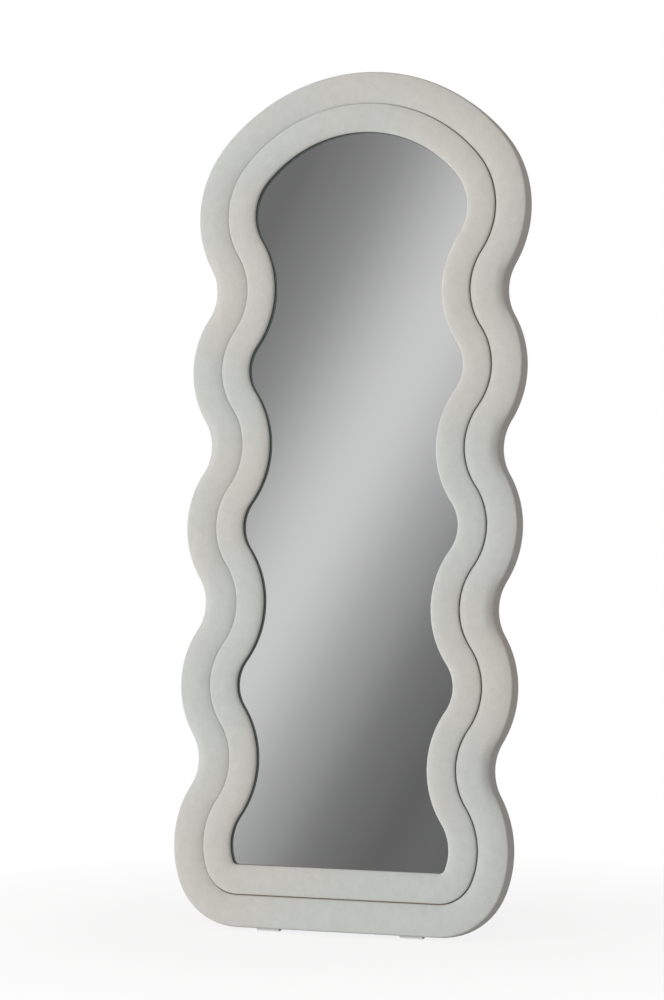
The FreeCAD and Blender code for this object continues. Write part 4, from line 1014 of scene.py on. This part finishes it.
SENSOR = 36.0
VIEW_REACH = 100.0
LAMP_TARGET = (0.0, 0.0, 0.8)
KEY_PLACE = (-8.4, -9.3, 2.1)
KEY_SIZE = (4.2, 4.2)
FILL_PLACE = (3.4, -0.6, 3.4)
FILL_SIZE = (2.0, 2.0)
WHITE = (1.0, 1.0, 1.0, 1.0)
ROOM_COLOUR = (1.0, 0.87, 0.82, 1.0)
FLOOR_REACH = 14.0
FLOOR_COLOUR = (0.86, 0.86, 0.85)
FLOOR_ROUGHNESS = 0.9
FLOOR_FADE = {"From Min": 0.15, "From Max": 1.2, "To Min": 0.84, "To Max": 1.0}
BAND_ALONG = (0.816, -0.393, -0.425)
BAND_HEART = (0.0, -0.05, 0.776)
BAND_REACH = 0.364
BAND_MIDDLE = 0.509
BAND_STOPS = ((0.115, 0.16), (0.285, 0.32), (0.462, 0.57), (0.608, 0.42), (0.746, 0.23), (0.885, 0.13))
COVE_FRONT = 0.16
COVE_CURVE = ((0.02, 0.004), (2.0, 0.004), (3.8, 0.02), (4.1, 0.1), (4.2, 0.3), (4.2, 7.0))
COVE_SWEEP = math.radians(90.0)
COVE_STEPS = 48


def camera_matrix():
    stage = settings().stage
    turn = Euler((math.pi / 2.0 - stage.pitch, 0.0, stage.yaw), "XYZ").to_matrix().to_4x4()
    return Matrix.Translation(stage.eye) @ turn @ Matrix.Rotation(stage.roll, 4, "Z")


def add_area(name, place, size, watts):
    """A rectangular lamp aimed at the mirror."""
    data = bpy.data.lights.new(name, "AREA")
    data.shape = "RECTANGLE"
    data.size, data.size_y = size
    data.energy = watts
    lamp = new_object(name, data)
    lamp.location = place
    lamp.rotation_euler = (Vector(LAMP_TARGET) - Vector(place)).to_track_quat("-Z", "Y").to_euler()
    return lamp


def seen_rays(tree):
    """1 for the rays that show a thing to the camera, straight, mirrored or through a clear piece."""
    path = tree.nodes.new("ShaderNodeLightPath")
    seen = math_node(tree, "MAXIMUM", path.outputs["Is Camera Ray"], path.outputs["Is Transmission Ray"])
    return math_node(tree, "MAXIMUM", seen, path.outputs["Is Glossy Ray"])


def band_material():
    """Grey with soft bright bands, as seen from the middle of the glass."""
    material = bpy.data.materials.new("Grey bands")
    material.use_nodes = True
    tree = material.node_tree
    tree.nodes.clear()
    away = vector_node(tree, "SUBTRACT", object_place(tree), BAND_HEART)
    across = vector_node(tree, "DOT_PRODUCT", vector_node(tree, "NORMALIZE", away), BAND_ALONG)
    share = math_node(tree, "DIVIDE", across, BAND_REACH)
    share = math_node(tree, "ADD", share, BAND_MIDDLE)
    share = math_node(tree, "PINGPONG", share, 1.0)
    ramp = add_node(tree, "ShaderNodeValToRGB", {"Fac": share})
    ramp.color_ramp.interpolation = "CARDINAL"
    stops = ramp.color_ramp.elements
    while len(stops) < len(BAND_STOPS):
        stops.new(0.5)
    for stop, (position, brightness) in zip(stops, BAND_STOPS):
        stop.position = position
        stop.color = (brightness, brightness, brightness, 1.0)
    glow = add_node(tree, "ShaderNodeEmission", {
        "Color": ramp.outputs["Color"], "Strength": 1.0 / settings().finish.silver[1]})
    add_node(tree, "ShaderNodeOutputMaterial", {"Surface": glow.outputs["Emission"]})
    return material


def make_cove():
    """A grey sheet that lies on the floor and curves up, seen only in the glass."""
    points = []
    for step in range(COVE_STEPS + 1):
        angle = COVE_SWEEP * (2.0 * step / COVE_STEPS - 1.0)
        for radius, height in COVE_CURVE:
            points.append((radius * math.sin(angle), -COVE_FRONT - radius * math.cos(angle), height))
    rows = len(COVE_CURVE)
    faces = []
    for step in range(COVE_STEPS):
        for row in range(rows - 1):
            here = step * rows + row
            faces.append((here, here + rows, here + rows + 1, here + 1))
    cove = mesh_object("Grey cove", points, (), faces)
    cove.data.materials.append(band_material())
    cove.visible_camera = False
    cove.visible_diffuse = False
    cove.visible_shadow = False


def make_floor():
    """A pale floor that stays white to the camera and keeps a soft shadow."""
    corners = [(x * FLOOR_REACH, y * FLOOR_REACH, 0.0) for x, y in ((-1, -1), (1, -1), (1, 1), (-1, 1))]
    floor = mesh_object("Floor", corners, (), [(0, 1, 2, 3)])
    material, tree, shader = new_material("Pale floor", FLOOR_COLOUR, FLOOR_ROUGHNESS)
    glow = add_node(tree, "ShaderNodeEmission", {"Color": WHITE, "Strength": 1.0})
    away = vector_node(tree, "LENGTH", object_place(tree))
    fade = add_node(tree, "ShaderNodeMapRange", {"Value": away, **FLOOR_FADE})
    share = math_node(tree, "MULTIPLY", seen_rays(tree), fade.outputs["Result"])
    mix = add_node(tree, "ShaderNodeMixShader", {
        0: share, 1: shader.outputs["BSDF"], 2: glow.outputs["Emission"]})
    feed(tree, tree.nodes["Material Output"], {"Surface": mix.outputs["Shader"]})
    floor.data.materials.append(material)


def make_world():
    """Even room light that the camera sees as white."""
    world = bpy.data.worlds.new("Studio")
    world.use_nodes = True
    tree = world.node_tree
    even = tree.nodes["Background"]
    feed(tree, even, {"Color": ROOM_COLOUR, "Strength": settings().stage.sky})
    white = add_node(tree, "ShaderNodeBackground", {"Color": WHITE, "Strength": 1.0})
    mix = add_node(tree, "ShaderNodeMixShader", {
        0: seen_rays(tree), 1: even.outputs["Background"], 2: white.outputs["Background"]})
    feed(tree, tree.nodes["World Output"], {"Surface": mix.outputs["Shader"]})
    bpy.context.scene.world = world


class WAVE_MIRROR_OT_stage(Operator):
    """Sets the camera, the lamps, the floor and the grey sheet that the glass mirrors"""

    bl_idname = "wave_mirror.stage"
    bl_label = "Studio"

    def execute(self, context):
        stage = settings().stage
        data = bpy.data.cameras.new("Camera")
        data.lens = stage.lens
        data.sensor_width = SENSOR
        data.clip_end = VIEW_REACH
        camera = new_object("Camera", data)
        camera.matrix_world = camera_matrix()
        context.scene.camera = camera
        context.scene.view_settings.view_transform = "Standard"
        add_area("Key", KEY_PLACE, KEY_SIZE, stage.key_watts)
        add_area("Fill", FILL_PLACE, FILL_SIZE, stage.fill_watts)
        make_floor()
        make_world()
        make_cove()
        return {"FINISHED"}


class WAVE_MIRROR_PT_panel(Panel):
    """Lists the steps that build the mirror"""

    bl_idname = "WAVE_MIRROR_PT_panel"
    bl_label = "Wavy floor mirror"
    bl_space_type = "VIEW_3D"
    bl_region_type = "UI"
    bl_category = "Mirror"

    def draw(self, context):
        for step in STEPS:
            self.layout.operator(f"wave_mirror.{step}")


STEPS = ("rolls", "glass", "hardware", "screws", "stand", "stage")
CLASSES = (OutlineSettings, RollSettings, StanceSettings, FinishSettings, StageSettings, MirrorSettings,
           WAVE_MIRROR_OT_rolls, WAVE_MIRROR_OT_glass, WAVE_MIRROR_OT_hardware, WAVE_MIRROR_OT_screws,
           WAVE_MIRROR_OT_stand, WAVE_MIRROR_OT_stage, WAVE_MIRROR_PT_panel)


def register():
    for one in CLASSES:
        bpy.utils.register_class(one)
    bpy.types.Scene.wave_mirror = PointerProperty(type=MirrorSettings)


def unregister():
    del bpy.types.Scene.wave_mirror
    for one in reversed(CLASSES):
        bpy.utils.unregister_class(one)


def main():
    register()
    make_materials()
    for step in STEPS:
        getattr(bpy.ops.wave_mirror, step)()


if __name__ == "__main__":
    main()
